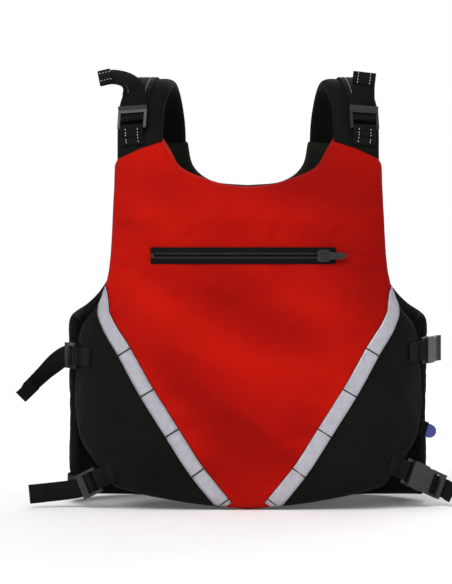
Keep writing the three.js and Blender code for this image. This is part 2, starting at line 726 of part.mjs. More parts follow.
// A tail from bar B to its free end, whose last two points are hemmed double.
function tailStrap(frame, barX, ends, width) {
  const turn = vectorsIn(frame, turnRound(barX));
  const exit = turn[turn.length - 1];
  const points = [...turn];
  const wides = turn.map(() => wideOf(frame));
  for (const { run, wide } of ends) {
    points.push(exit.clone().add(new THREE.Vector3(...run)));
    const direction = wide ? new THREE.Vector3(...wide) : wideOf(frame);
    wides.push(direction.multiplyScalar(Math.sign(direction.dot(wides[wides.length - 1]))));
  }
  const plain = points.length - (ends.length ? 2 : 0);
  const thick = points.map((point, i) => (i < plain ? WEB : FOLD));
  return strap(points, wides, width, thick);
}

function shoulder(name, side) {
  const half = PAD_WIDTH / 2;
  const pad = padBox(side, -half, half, 0, PAD_LINE.length - 1, -PAD / 2, PAD / 2, PAD_COLUMNS);
  add(`shoulder_pad_${name}`, pad, BLACK_NYLON);
  const surface = PAD / 2 + GAP;
  const origin = onPad(side, LOCK_ACROSS, LOCK_K, surface);
  const up = onPad(side, LOCK_ACROSS, LOCK_K + 0.6, surface).sub(origin);
  const wideAt = (k) => {
    const [near, far] = [-8, 8].map((a) => onPad(side, LOCK_ACROSS + a, k, surface));
    return far.sub(near).multiplyScalar(side);
  };
  const out = new THREE.Vector3().crossVectors(wideAt(LOCK_K), up);
  const frame = frameAt(origin, up, out);
  const across = wideOf(frame);
  const group = groupAt(frame);
  add(`shoulder_lock_${name}`, ladderLock(SHOULDER_WEB), ACETAL, group);

  const anchor = strap(vectorsIn(frame, anchorLoop(-13)), across, SHOULDER_WEB, WEB);
  add(`shoulder_anchor_${name}`, anchor, WEBBING);

  const start = BAR_B + LEG_END + GAP;
  const line = vectorsIn(frame, [[start, LEG], [start + 4, LEG]]);
  const wides = line.map(() => wideAt(LOCK_K));
  for (const k of [3, 4, 5, 6, 7, 8, 9, STRAP_END]) {
    line.push(onPad(side, LOCK_ACROSS - 2, k, surface + LEG + 0.5));
    wides.push(wideAt(k));
  }
  add(`shoulder_strap_${name}`, strap(line, wides, SHOULDER_WEB, WEB), WEBBING);

  const tail = tailStrap(frame, BAR_B, SHOULDER_TAILS[name], SHOULDER_WEB);
  add(`shoulder_tail_${name}`, tail, WEBBING);
}

shoulder("left", -1);
shoulder("right", 1);

// ---------- sides ----------
// Every side strap leaves the front panel's edge along the facet it is sewn to, dropped by a slope.
function sideFrame(side, x, z, slope) {
  const s = side * round(x);
  const origin = onFront(s, z, 0);
  const tangent = onFront(s + side, z, 0).sub(onFront(s - side, z, 0)).normalize();
  const up = onFront(s, z + 1, 0).sub(onFront(s, z - 1, 0)).normalize();
  const out = new THREE.Vector3().crossVectors(tangent, up).multiplyScalar(side);
  const heading = tangent.multiplyScalar(Math.cos(slope)).addScaledVector(up, -Math.sin(slope));
  return { s, frame: frameAt(origin, heading, out) };
}

// The webbing sewn flat to the front panel, ending in the loop round bar A.
function sideAnchor(side, place, slope, length) {
  const { s, frame } = place;
  const z = new THREE.Vector3().setFromMatrixPosition(frame).z;
  const drop = Math.tan(slope);
  const line = [-length, -9].map((run) => {
    const round = run * Math.cos(slope);
    return [s + side * round, z - round * drop];
  });
  const sewn = toFront(plate(ribbonPattern(line, SIDE_WEB), GAP, GAP + WEB));
  const loop = strap(vectorsIn(frame, anchorLoop(-11)), wideOf(frame), SIDE_WEB, WEB);
  return joined([sewn, loop]);
}

// The loaded strap, from a buckle's bar B back to the wing, where it is sewn down.
const STRAP_LEAD = 6; // it lies straight from this far before the wing's edge
function sideStrap(side, frame, barX, z, reach) {
  const start = barX + LEG_END + GAP;
  const line = vectorsIn(frame, [[start, LEG], [start + 10, LEG]]);
  const first = wideOf(frame).multiplyScalar(Math.sign(wideOf(frame).z));
  const wides = line.map(() => first);
  const landing = onBack(-side * (WING_EDGE + STRAP_LEAD), z, LEG + 0.3);
  line.push(line[1].clone().lerp(landing, 0.5));
  wides.push(first.clone().add(new THREE.Vector3(0, 0, 1))); // half of the twist
  const folds = BACK.slice(1, -1).map((corner) => corner.s).filter((s) => s > WING_EDGE - reach);
  for (const s of [WING_EDGE + STRAP_LEAD, ...folds.reverse(), WING_EDGE - reach]) {
    line.push(onBack(-side * s, z, LEG + 0.3));
    wides.push(new THREE.Vector3(0, 0, 1));
  }
  return strap(line, wides, SIDE_WEB, WEB);
}

const UPPER_LEFT = { x: 224, z: 197, slope: 0 };
const LOWER_LEFT = { x: 195, z: 39, slope: 0.42 };
const UPPER_RIGHT = { x: 226, z: 204, slope: 0 };
const LOWER_RIGHT = { x: 203, z: 50, slope: 0.39 };

function leftSide(name, place, anchorLength, strapZ, tailEnds) {
  const seat = sideFrame(-1, place.x, place.z, place.slope);
  const { frame } = seat;
  add(`side_lock_${name}`, ladderLock(SIDE_WEB), ACETAL, groupAt(frame));
  add(`side_anchor_${name}`, sideAnchor(-1, seat, place.slope, anchorLength), WEBBING);
  add(`side_strap_${name}`, sideStrap(-1, frame, BAR_B, strapZ, 62), WEBBING);
  add(`side_tail_${name}`, tailStrap(frame, BAR_B, tailEnds, SIDE_WEB), WEBBING);
}

leftSide("upper_left", UPPER_LEFT, 34, 190, [
  { run: [-7, 4, -4], wide: [0.1, 0, 1] },
  { run: [-19, 5, -14], wide: [0.35, -0.1, 0.95] },
  { run: [-33, 4, -27], wide: [0.55, -0.1, 0.85] },
  { run: [-35, 4, -29], wide: [0.57, -0.1, 0.83] },
  { run: [-62, 2, -55], wide: [0.6, -0.1, 0.8] },
]);
leftSide("lower_left", LOWER_LEFT, 26, 25, [
  { run: [-9, 2, -2], wide: [0, 0, 1] },
  { run: [-24, 2, -4], wide: [0, 0, 1] },
  { run: [-44, 0, -6], wide: [0.1, 0, 1] },
  { run: [-46, 0, -6.2], wide: [0.1, 0, 1] },
  { run: [-66, -2, -8], wide: [0.12, 0, 1] },
]);

// ---------- side-release buckles ----------
const SHELL_END = 36; // the socket's mouth, from its anchor bar
const SHELL_LOW = 0.9;
const SHELL_HIGH = 9.9;
const SHELL_MIDDLE = (SHELL_LOW + SHELL_HIGH) / 2;
const SHELL_HALF = 17.2;
const CAVITY_HALF = 14.2;
const CAVITY_HEIGHT = 2.9; // half
const PLUG_FACE = SHELL_END + GAP;
const PLUG_BAR = 51.5; // bar B of the plug
const ARM_ROOT = 10.5; // how far an arm's hinge lies from the buckle's middle

function socket() {
  const outer = SIDE_WEB / 2 + 0.7 + RAIL;
  const shell = plate(
    [[7, -SHELL_HALF + 2], [10, -SHELL_HALF], [33, -SHELL_HALF], [SHELL_END, -SHELL_HALF + 1.5],
      [SHELL_END, SHELL_HALF - 1.5], [33, SHELL_HALF], [10, SHELL_HALF], [7, SHELL_HALF - 2]],
    SHELL_LOW,
    SHELL_HIGH,
  );
  const low = SHELL_MIDDLE - CAVITY_HEIGHT;
  const high = SHELL_MIDDLE + CAVITY_HEIGHT;
  const body = cut(shell, [
    block(9.5, SHELL_END + 1, -CAVITY_HALF, CAVITY_HALF, low, high),
    block(14, 27.5, -SHELL_HALF - 1, SHELL_HALF + 1, low, high),
  ]);
  const rails = [-1, 1].map((side) => {
    const edges = [side * (outer - RAIL), side * outer].sort((a, b) => a - b);
    return block(0, 9, edges[0], edges[1], BAR_HEIGHT - BAR, BAR_HEIGHT + BAR);
  });
  return joined([body, bar(0, BAR_HEIGHT, BAR, outer), ...rails]);
}

function plug() {
  const outer = SIDE_WEB / 2 + 0.7 + RAIL;
  const base = plate(
    [[PLUG_FACE, -15.5], [45.5, -outer], [45.5, outer], [PLUG_FACE, 15.5]],
    SHELL_LOW + 0.3,
    SHELL_HIGH - 0.3,
  );
  const rails = [-1, 1].map((side) => {
    const edges = [side * (outer - RAIL), side * outer].sort((a, b) => a - b);
    return block(44, PLUG_BAR + 14, edges[0], edges[1], BAR_HEIGHT - BAR, BAR_HEIGHT + BAR + 0.4);
  });
  return joined([
    base,
    block(14, PLUG_FACE + 1, -2.2, 2.2, SHELL_MIDDLE - 2, SHELL_MIDDLE + 2),
    bar(PLUG_BAR, BAR_HEIGHT, BAR, outer - 0.5),
    lip(PLUG_BAR, outer),
    ...rails,
  ]);
}

// One springy arm; side 1 lies towards +y. It is drawn round its hinge.
function plugArm(side) {
  const outline = [
    [0, -2],
    [0, 2],
    [-9, 2.9],
    [-9.6, 6.4],
    [-18, 5.1],
    [-20.8, 1.5],
    [-20.8, -1],
    [-12, -0.9],
    [-6, -1.7],
  ];
  const points = outline.map(([x, y]) => [x, side * y]);
  if (side > 0) points.reverse();
  return plate(points, -2.3, 2.3);
}

function rightSide(name, place, anchorLength, strapZ, tailEnds) {
  const seat = sideFrame(1, place.x, place.z, place.slope);
  const { frame } = seat;
  const group = groupAt(frame);
  add(`buckle_socket_${name}`, socket(), ACETAL, group);
  add(`socket_anchor_${name}`, sideAnchor(1, seat, place.slope, anchorLength), WEBBING);
  add(`buckle_plug_${name}`, plug(), ACETAL, group);
  for (const [which, side] of [["a", 1], ["b", -1]]) {
    const hinge = new THREE.Group();
    hinge.position.set(PLUG_FACE - GAP, side * ARM_ROOT, SHELL_MIDDLE);
    group.add(hinge);
    add(`plug_arm_${name}_${which}`, plugArm(side), ACETAL, hinge);
  }
  add(`plug_strap_${name}`, sideStrap(1, frame, PLUG_BAR, strapZ, 70), WEBBING);
  add(`plug_tail_${name}`, tailStrap(frame, PLUG_BAR, tailEnds, SIDE_WEB), WEBBING);
}

rightSide("upper_right", UPPER_RIGHT, 34, 204, []);
rightSide("lower_right", LOWER_RIGHT, 26, 27, [
  { run: [4.5, -5, -1.5] },
  { run: [7.5, -12, -3.5] },
  { run: [8.5, -13.5, -4] },
  { run: [13.5, -19, -6.5] },
]);

// ---------- whistle ----------
// Its own frame: x along the whistle and out of the jacket, z forwards from the right wing's front edge.
const WHISTLE_HALF_HEIGHT = 9;
const WHISTLE_THICKNESS = 9;
const WHISTLE_TIP = 20; // past the middle of the wing's edge
const WHISTLE_TAIL = -27;
const SLEEVE = 1.2; // elastic
const SLEEVE_SPAN = [-6, 7];
const WHISTLE_WALL = 2.5;
const WHISTLE_DROOP = 0.3;
function whistle() {
  const s = -WING_EDGE;
  const origin = onBack(s, WHISTLE_Z, -WING / 2);
  const out = onBack(s, WHISTLE_Z, 1).sub(onBack(s, WHISTLE_Z, 0)).normalize();
  const forwards = onBack(s, WHISTLE_Z, 0).sub(onBack(s + 1, WHISTLE_Z, 0)).normalize();
  const heading = out.multiplyScalar(Math.cos(WHISTLE_DROOP));
  heading.z -= Math.sin(WHISTLE_DROOP);
  const group = groupAt(frameAt(origin, heading, forwards));
  const high = WHISTLE_HALF_HEIGHT + GAP;
  const from = GAP;
  const to = from + 2 * SLEEVE + 2 * GAP + WHISTLE_THICKNESS;
  const [x0, x1] = SLEEVE_SPAN;
  const outside = block(x0, x1, -high - SLEEVE, high + SLEEVE, from, to);
  const inside = block(x0 - 1, x1 + 1, -high, high, from + SLEEVE, to - SLEEVE);
  add("whistle_loop", cut(outside, [inside]), WEBBING, group);

  const round = [-90, -60, -30, 0, 30, 60, 90].map((degrees) => {
    const angle = (degrees * Math.PI) / 180;
    const radius = WHISTLE_HALF_HEIGHT;
    return [WHISTLE_TIP - radius + radius * Math.cos(angle), radius * Math.sin(angle)];
  });
  const outline = [[WHISTLE_TAIL, -4.5], [WHISTLE_TAIL + 14, -WHISTLE_HALF_HEIGHT], ...round,
    [WHISTLE_TAIL + 14, WHISTLE_HALF_HEIGHT], [WHISTLE_TAIL, 4.5]];
  const low = from + SLEEVE + GAP;
  const top = low + WHISTLE_THICKNESS;
  const floor = low + WHISTLE_WALL;
  const body = plate(outline, low, top);
  const airway = block(WHISTLE_TAIL - 1, WHISTLE_TAIL + 15, -2.5, 2.5, floor, top - WHISTLE_WALL);
  const voice = block(WHISTLE_TAIL + 11, WHISTLE_TAIL + 15, -4, 4, floor, top + 1);
  add("whistle", cut(body, [airway, voice]), WHISTLE_PLASTIC, group);
}
whistle();

// The origin is the middle of the back foam's bottom edge.
const hem = onBack(0, 0, -COVER - GAP - FOAM / 2);
jacket.position.y = -hem.y;

export default jacket;
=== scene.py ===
# %% [markdown]
# A foam buoyancy jacket: two padded panels hung from shoulder pads, closed at the sides by straps.
# The hard pieces come from the CAD frame. Every soft piece is made here, from the same flat patterns
# that a sewer would cut, and takes the place of its CAD solid.

import bpy
import json
import math
import numpy as np
from mathutils import Matrix, Vector
from mathutils.bvhtree import BVHTree
from mathutils.geometry import barycentric_transform, delaunay_2d_cdt


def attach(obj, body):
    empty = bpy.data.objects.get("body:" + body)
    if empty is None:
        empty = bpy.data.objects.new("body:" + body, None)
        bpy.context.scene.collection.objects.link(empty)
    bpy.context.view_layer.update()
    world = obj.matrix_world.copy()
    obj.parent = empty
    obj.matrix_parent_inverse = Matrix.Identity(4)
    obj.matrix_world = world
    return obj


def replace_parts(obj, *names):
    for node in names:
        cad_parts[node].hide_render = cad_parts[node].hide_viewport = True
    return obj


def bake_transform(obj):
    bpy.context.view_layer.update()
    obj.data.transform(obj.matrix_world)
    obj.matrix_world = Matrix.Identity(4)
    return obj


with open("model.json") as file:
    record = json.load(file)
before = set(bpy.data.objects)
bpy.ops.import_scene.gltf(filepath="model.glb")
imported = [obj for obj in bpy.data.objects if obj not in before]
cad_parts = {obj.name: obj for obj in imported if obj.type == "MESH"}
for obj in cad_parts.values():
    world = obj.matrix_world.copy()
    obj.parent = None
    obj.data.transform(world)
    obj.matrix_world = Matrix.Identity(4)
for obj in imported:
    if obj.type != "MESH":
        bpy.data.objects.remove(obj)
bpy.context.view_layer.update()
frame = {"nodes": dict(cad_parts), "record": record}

# %% [markdown]
# The camera comes first. The jacket was seen from the front, from far away and level with its middle,
# so a long lens keeps its sides parallel.

# %% Camera
AIM = Vector((-0.029, -0.2, 0.281))
DISTANCE = 9.0
RISE = math.radians(3)
VIEW_HEIGHT = 0.759  # what the long side of the view takes in, at the front panel
PANEL_NEARER = 0.07  # how much nearer the front panel is than the point aimed at
camera = bpy.data.objects.new("camera", bpy.data.cameras.new("camera"))
bpy.context.scene.collection.objects.link(camera)
camera.location = AIM + DISTANCE * Vector((0, -math.cos(RISE), math.sin(RISE)))
camera.rotation_euler = (math.pi / 2 - RISE, 0, 0)
camera.data.lens = camera.data.sensor_width * (DISTANCE - PANEL_NEARER) / VIEW_HEIGHT
bpy.context.scene.camera = camera
print("lens:", round(camera.data.lens, 1), "mm")

# %% [markdown]
# Soft light comes from a broad sun high in front, with large panels at the sides and one behind, as in
# a studio tent. The floor is a pale disc that ends in a white surround, so no horizon draws the eye.

# %% Floor and lights
world = bpy.data.worlds.new("studio")
bpy.context.scene.world = world
world.use_nodes = True
surround = world.node_tree
lighting = surround.nodes["Background"]
lighting.inputs["Color"].default_value = (0.93, 0.93, 0.93, 1)
lighting.inputs["Strength"].default_value = 0.5
seen_behind = surround.nodes.new("ShaderNodeBackground")
seen_behind.inputs["Color"].default_value = (1, 1, 1, 1)
chosen = surround.nodes.new("ShaderNodeMixShader")
surround.links.new(surround.nodes.new("ShaderNodeLightPath").outputs["Is Camera Ray"], chosen.inputs[0])
surround.links.new(lighting.outputs[0], chosen.inputs[1])
surround.links.new(seen_behind.outputs[0], chosen.inputs[2])
surround.links.new(chosen.outputs[0], surround.nodes["World Output"].inputs["Surface"])
bpy.context.scene.view_settings.view_transform = "Standard"


def panel_light(name, place, size, power):
    lamp = bpy.data.objects.new(name, bpy.data.lights.new(name, "AREA"))
    lamp.data.shape = "SQUARE"
    lamp.data.size = size
    lamp.data.energy = power
    lamp.location = place
    lamp.rotation_euler = (Vector(place) - Vector((0, -0.13, 0.3))).to_track_quat("Z", "Y").to_euler()
    bpy.context.scene.collection.objects.link(lamp)


sun = bpy.data.objects.new("sun", bpy.data.lights.new("sun", "SUN"))
sun.data.energy = 1.9
sun.data.angle = math.radians(50)
sun.rotation_euler = (math.radians(38), math.radians(-22), 0)
bpy.context.scene.collection.objects.link(sun)
panel_light("key", (-1.7, -2.0, 1.9), 1.3, 9)
panel_light("fill", (1.9, -1.9, 1.0), 1.8, 9)
panel_light("rim", (0.6, 2.4, 1.6), 1.6, 26)
FLOOR_RADIUS, FLOOR_CORNERS = 2.6, 96
floor = bpy.data.objects.new("floor", bpy.data.meshes.new("floor"))
turns = np.linspace(0, 2 * math.pi, FLOOR_CORNERS, endpoint=False)
rim = [(FLOOR_RADIUS * math.cos(a), FLOOR_RADIUS * math.sin(a), 0) for a in turns]
floor.data.from_pydata(rim, [], [range(FLOOR_CORNERS)])
floor.location.z = -0.0005
bpy.context.scene.collection.objects.link(floor)

# %% [markdown]
# Every finish is made of nodes. These helpers keep that short: they add a node and set or link its
# inputs, do a sum, mix two colours, and start a node group whose sockets have names.


# %% Node helpers
def node(tree, kind, inputs=None, **settings):
    made = tree.nodes.new(kind)
    for key, value in settings.items():
        setattr(made, key, value)
    for key, value in (inputs or {}).items():
        if isinstance(value, bpy.types.NodeSocket):
            tree.links.new(value, made.inputs[key])
        else:
            made.inputs[key].default_value = value
    return made


def maths(tree, operation, a, b=0.0):
    return node(tree, "ShaderNodeMath", {0: a, 1: b}, operation=operation).outputs[0]


def blend(tree, amount, first, second):
    """A colour between two others, by an amount from 0 to 1."""
    ends = {0: amount, 6: (*first, 1), 7: (*second, 1)}
    return node(tree, "ShaderNodeMix", ends, data_type="RGBA").outputs[2]


def group(title, takes, gives):
    tree = bpy.data.node_groups.new(title, "ShaderNodeTree")
    for name, kind, value in takes:
        socket = tree.interface.new_socket(name, in_out="INPUT", socket_type=f"NodeSocket{kind}")
        if value is not None:
            socket.default_value = value
    for name, kind in gives:
        tree.interface.new_socket(name, in_out="OUTPUT", socket_type=f"NodeSocket{kind}")
    return tree, tree.nodes.new("NodeGroupInput").outputs, tree.nodes.new("NodeGroupOutput")


def material(name):
    made = bpy.data.materials.new(name)
    made.use_nodes = True
    tree = made.node_tree
    return made, tree, tree.nodes["Principled BSDF"].inputs


# %% [markdown]
# Nylon cloth shows its weave only close up. From further away it shows soft folds, and its colour is
# painted darker and lighter with them: painted shade, for the folds catching more or less light. The weave
# is two crossed waves, and the folds are stretched noise, so both are groups that the red, the black and
# the lining cloth share.

# %% Weave group
weave, takes, gives = group(
    "weave",
    [("Threads per metre", "Float", 1400.0)],
    [("Height", "Float")],
)
where = node(weave, "ShaderNodeUVMap").outputs["UV"]
spread = node(weave, "ShaderNodeSeparateXYZ", {0: where}).outputs
turns = maths(weave, "MULTIPLY", takes["Threads per metre"], math.pi)
warp = maths(weave, "SINE", maths(weave, "MULTIPLY", spread["X"], turns))
weft = maths(weave, "SINE", maths(weave, "MULTIPLY", spread["Y"], turns))
crossed = maths(weave, "MULTIPLY", warp, weft)
weave.links.new(maths(weave, "ABSOLUTE", crossed), gives.inputs["Height"])

# %% Folds group
folds, takes, gives = group(
    "folds",
    [("Scale", "Float", 7.0), ("Slant", "Float", 0.6), ("Stretch", "Float", 0.35)],
    [("Height", "Float"), ("Tone", "Float")],
)
where = node(folds, "ShaderNodeTexCoord").outputs["Object"]
spread = node(folds, "ShaderNodeSeparateXYZ", {0: where}).outputs
slanted = maths(folds, "MULTIPLY", spread["X"], takes["Slant"])
sideways = maths(folds, "ADD", spread["Z"], slanted)
lengthways = maths(folds, "MULTIPLY", maths(folds, "SUBTRACT", spread["X"], spread["Z"]), takes["Stretch"])
moved = node(folds, "ShaderNodeCombineXYZ", {0: sideways, 1: lengthways, 2: spread["Y"]}).outputs[0]
coarse = node(folds, "ShaderNodeTexNoise", {"Vector": moved, "Scale": takes["Scale"], "Detail": 2.0})
fine = node(folds, "ShaderNodeTexNoise", {"Vector": where, "Scale": 60.0, "Detail": 4.0})
mixed = maths(folds, "ADD", coarse.outputs["Fac"], maths(folds, "MULTIPLY", fine.outputs["Fac"], 0.12))
folds.links.new(mixed, gives.inputs["Height"])
# The tone is the coarse fold noise, which the cloths paint into their colour as shade in the folds.
folds.links.new(coarse.outputs["Fac"], gives.inputs["Tone"])
print("groups:", [g.name for g in bpy.data.node_groups])


# %% Cloth materials
def cloth(name, light, dark, threads, weave_depth, fold_depth, rough=0.8, sheen=0.008):
    made, tree, shader = material(name)
    folded = node(tree, "ShaderNodeGroup", node_tree=folds).outputs
    woven = node(tree, "ShaderNodeGroup", node_tree=weave)
    woven.inputs["Threads per metre"].default_value = threads
    # Painted shade: the colour runs from dark to light with the fold noise, darker in the hollows of the
    # folds.
    ramp = node(tree, "ShaderNodeMapRange", {0: folded["Tone"], 1: 0.35, 2: 0.65}).outputs[0]
    fold_shaded = blend(tree, ramp, dark, light)
    thread = node(tree, "ShaderNodeMix", {0: 0.15, 6: fold_shaded}, data_type="RGBA", blend_type="MULTIPLY")
    tree.links.new(woven.outputs["Height"], thread.inputs[7])
    tree.links.new(thread.outputs[2], shader["Base Color"])
    creased = node(tree, "ShaderNodeBump", {"Height": folded["Height"], "Distance": fold_depth})
    creased.inputs["Strength"].default_value = 1.0
    fine = node(
        tree,
        "ShaderNodeBump",
        {"Height": woven.outputs["Height"], "Distance": weave_depth, "Normal": creased.outputs[0]},
    )
    tree.links.new(fine.outputs[0], shader["Normal"])
    rougher = node(tree, "ShaderNodeMapRange", {0: folded["Tone"], 3: rough - 0.08, 4: rough + 0.08})
    tree.links.new(rougher.outputs[0], shader["Roughness"])
    shader["Specular IOR Level"].default_value = 0.07
    shader["Sheen Weight"].default_value = sheen
    shader["Sheen Roughness"].default_value = 0.5
    return made


red_nylon = cloth("red nylon", (0.53, 0.006, 0.0008), (0.30, 0.0015, 0.0003), 1500, 0.00008, 0.016)
black_nylon = cloth("black nylon", (0.0062, 0.0062, 0.0054), (0.0034, 0.0034, 0.0029), 1500, 0.00008, 0.014)
lining_cloth = cloth("lining mesh", (0.02, 0.02, 0.017), (0.01, 0.01, 0.008), 500, 0.0004, 0.004, 0.9)
foam_sheet = cloth("foam sheet", (0.72, 0.68, 0.6), (0.62, 0.58, 0.5), 300, 0.0001, 0.002, 0.95, 0.0)
zip_cloth = cloth("zip tape", (0.008, 0.008, 0.008), (0.005, 0.005, 0.005), 1100, 0.0002, 0.001, 0.85)
print("cloths made")

# %% [markdown]
# Webbing is woven too, but coarsely: ribs run across it about a millimetre apart, so it scatters light
# in fine lines, which are also painted into its colour as lighter rib tops and darker grooves. Reflective
# tape is a film of tiny glass beads, so it is bright and a little metallic, and its sparkle is painted into
# its colour as bright glints. It creases where it is sewn, with painted shade and light along the creases.
# Moulded plastic has a faint grain from its mould.

# %% Webbing material
webbing, tree, shader = material("webbing")
where = node(tree, "ShaderNodeUVMap").outputs["UV"]
spread = node(tree, "ShaderNodeSeparateXYZ", {0: where}).outputs
ribs = maths(tree, "SINE", maths(tree, "MULTIPLY", spread["Y"], 4200.0))
slanted = maths(tree, "ADD", spread["Y"], maths(tree, "ABSOLUTE", spread["X"]))
twill = maths(tree, "SINE", maths(tree, "MULTIPLY", slanted, 3000.0))
height = maths(tree, "ADD", ribs, twill)
# Painted highlight and shade: the colour is lighter on the tops of the ribs and darker in the grooves.
painted_light_and_shade = node(tree, "ShaderNodeMapRange", {0: height, 1: -2.0, 2: 2.0}).outputs[0]
tree.links.new(blend(tree, painted_light_and_shade, (0.0012, 0.0012, 0.0012), (0.005, 0.005, 0.0046)), shader["Base Color"])
bumped = node(tree, "ShaderNodeBump", {"Height": height, "Distance": 0.0002, "Strength": 0.8})
tree.links.new(bumped.outputs[0], shader["Normal"])
shader["Roughness"].default_value = 0.75
shader["Specular IOR Level"].default_value = 0.12
shader["Sheen Weight"].default_value = 0.015

# %% Reflective tape material
reflective, tree, shader = material("reflective tape")
where = node(tree, "ShaderNodeTexCoord").outputs["Object"]
beads = node(tree, "ShaderNodeTexVoronoi", {"Vector": where, "Scale": 1600.0}).outputs["Color"]
creases = node(tree, "ShaderNodeTexNoise", {"Vector": where, "Scale": 130.0, "Detail": 3.0}).outputs["Fac"]
# Painted glints and shade: the bead cells and the crease noise make the colour brighter and darker.
painted_bead_glints = node(tree, "ShaderNodeSeparateColor", {0: beads}).outputs[0]
painted_light_and_shade = maths(tree, "ADD", maths(tree, "MULTIPLY", painted_bead_glints, 0.35), maths(tree, "MULTIPLY", creases, 0.9))
tree.links.new(blend(tree, painted_light_and_shade, (0.29, 0.285, 0.325), (0.47, 0.46, 0.51)), shader["Base Color"])
bumped = node(tree, "ShaderNodeBump", {"Height": creases, "Distance": 0.0012, "Strength": 0.7})
tree.links.new(bumped.outputs[0], shader["Normal"])
shader["Metallic"].default_value = 0.25
shader["Roughness"].default_value = 0.42

# %% Moulded plastic group
grain, takes, gives = group(
    "moulded grain",
    [("Scale", "Float", 900.0), ("Scuffs", "Float", 0.5)],
    [("Height", "Float"), ("Scuff", "Float")],
)
where = node(grain, "ShaderNodeTexCoord").outputs["Object"]
fine = node(grain, "ShaderNodeTexNoise", {"Vector": where, "Scale": takes["Scale"], "Detail": 2.0})
broad = node(grain, "ShaderNodeTexNoise", {"Vector": where, "Scale": 90.0, "Detail": 5.0})
grain.links.new(fine.outputs["Fac"], gives.inputs["Height"])
grain.links.new(maths(grain, "MULTIPLY", broad.outputs["Fac"], takes["Scuffs"]), gives.inputs["Scuff"])


# %% Plastic materials
def plastic(name, colour, scuffed, rough):
    made, tree, shader = material(name)
    marks = node(tree, "ShaderNodeGroup", node_tree=grain).outputs
    tree.links.new(blend(tree, marks["Scuff"], colour, scuffed), shader["Base Color"])
    grained = {"Height": marks["Height"], "Distance": 0.00012, "Strength": 0.6}
    bumped = node(tree, "ShaderNodeBump", grained)
    tree.links.new(bumped.outputs[0], shader["Normal"])
    uneven = node(tree, "ShaderNodeMapRange", {0: marks["Scuff"], 3: rough - 0.08, 4: rough + 0.15})
    tree.links.new(uneven.outputs[0], shader["Roughness"])
    return made


acetal = plastic("acetal", (0.006, 0.006, 0.0056), (0.02, 0.02, 0.019), 0.42)
tooth_plastic = plastic("zip teeth", (0.013, 0.013, 0.013), (0.03, 0.03, 0.03), 0.35)
whistle_plastic = plastic("whistle plastic", (0.045, 0.05, 0.34), (0.12, 0.13, 0.5), 0.22)
whistle_shader = whistle_plastic.node_tree.nodes["Principled BSDF"].inputs
whistle_shader["Transmission Weight"].default_value = 0.45
whistle_shader["IOR"].default_value = 1.45
print("materials:", len(bpy.data.materials))

# %% [markdown]
# Thread shows as short stitches, white on the shoulders and dark on the tape. Each is a real little
# bead of thread, so its colour can be plain, but real thread is twisted, which a fine wave gives.


# %% Thread materials
def thread(name, light, dark):
    made, tree, shader = material(name)
    where = node(tree, "ShaderNodeTexCoord").outputs["Object"]
    wave = node(tree, "ShaderNodeTexWave", {"Vector": where, "Scale": 1500.0, "Distortion": 1.0})
    tree.links.new(blend(tree, wave.outputs["Fac"], dark, light), shader["Base Color"])
    shader["Roughness"].default_value = 0.7
    return made


white_thread = thread("white thread", (0.75, 0.75, 0.72), (0.45, 0.45, 0.43))
# This dark finish also draws the painted shade along the folded edges of the reflective tape.
black_thread_and_edge_shade = thread("black thread", (0.02, 0.02, 0.02), (0.006, 0.006, 0.006))
red_thread = thread("red thread", (0.45, 0.012, 0.006), (0.25, 0.006, 0.003))

# %% [markdown]
# The hard pieces keep their CAD shape. Their edges are sharp in the CAD, and a moulded edge is never
# sharp, so a bevel rounds them a little and catches the light as a real buckle does.

# %% Hard pieces
FINISH_OF_SLOT = {
    "red_nylon": red_nylon,
    "black_nylon": black_nylon,
    "lining_cloth": lining_cloth,
    "foam_sheet": foam_sheet,
    "webbing": webbing,
    "reflective_tape": reflective,
    "zip_cloth": zip_cloth,
    "acetal": acetal,
    "whistle_plastic": whistle_plastic,
}
for part in frame["record"]["subparts"]:
    solid = frame["nodes"][part["node"]]
    solid.data.materials.clear()
    solid.data.materials.append(FINISH_OF_SLOT[part["material_slot"]])
    if part["material_slot"] in ("acetal", "whistle_plastic"):
        rounded = solid.modifiers.new("moulded edge", "BEVEL")
        rounded.width = 0.0007 if part["node"] == "whistle" else 0.0004
        rounded.segments = 3
        rounded.limit_method = "ANGLE"
        rounded.angle_limit = math.radians(28)
        rounded.harden_normals = True

# %% Floor finish
floor_finish, tree, shader = material("floor")
where = node(tree, "ShaderNodeTexCoord").outputs["Object"]
speckle = node(tree, "ShaderNodeTexNoise", {"Vector": where, "Scale": 6.0, "Detail": 3.0}).outputs["Fac"]
tree.links.new(blend(tree, speckle, (0.95, 0.95, 0.95), (0.98, 0.98, 0.98)), shader["Base Color"])
shader["Roughness"].default_value = 0.9
floor.data.materials.append(floor_finish)
print("floor:", floor.data.materials[0].name)

# %% [markdown]
# The panels are sewn from flat patterns and then wrapped round the body. So each pattern is drawn flat,
# with s running round the body and z up it, and one function bends it: a flat middle, then a round turn.
# A third number, d, is how far a point lies out from the cover. The same sizes shaped the CAD.

# %% The bend of each panel, in metres
BACK_SHIFT = 0.1314  # the frame's origin lies this far behind the middle of the body
HALF_DEPTH = 0.140
FRONT_BEND = (0.122, 0.110, math.radians(80))
BACK_BEND = (0.100, 0.136, math.radians(95))
FRONT_LEAN = ((0, 0.060, 0.380, 0.440, 0.520), (0.008, 0, 0, 0.016, 0.056))
BACK_LEAN = ((0, 0.300, 0.500), (0, 0, 0.050))


def leaning(table, z):
    heights, leans = table
    if z <= heights[-1]:
        return float(np.interp(z, heights, leans))
    slope = (leans[-1] - leans[-2]) / (heights[-1] - heights[-2])
    return leans[-1] + slope * (z - heights[-1])


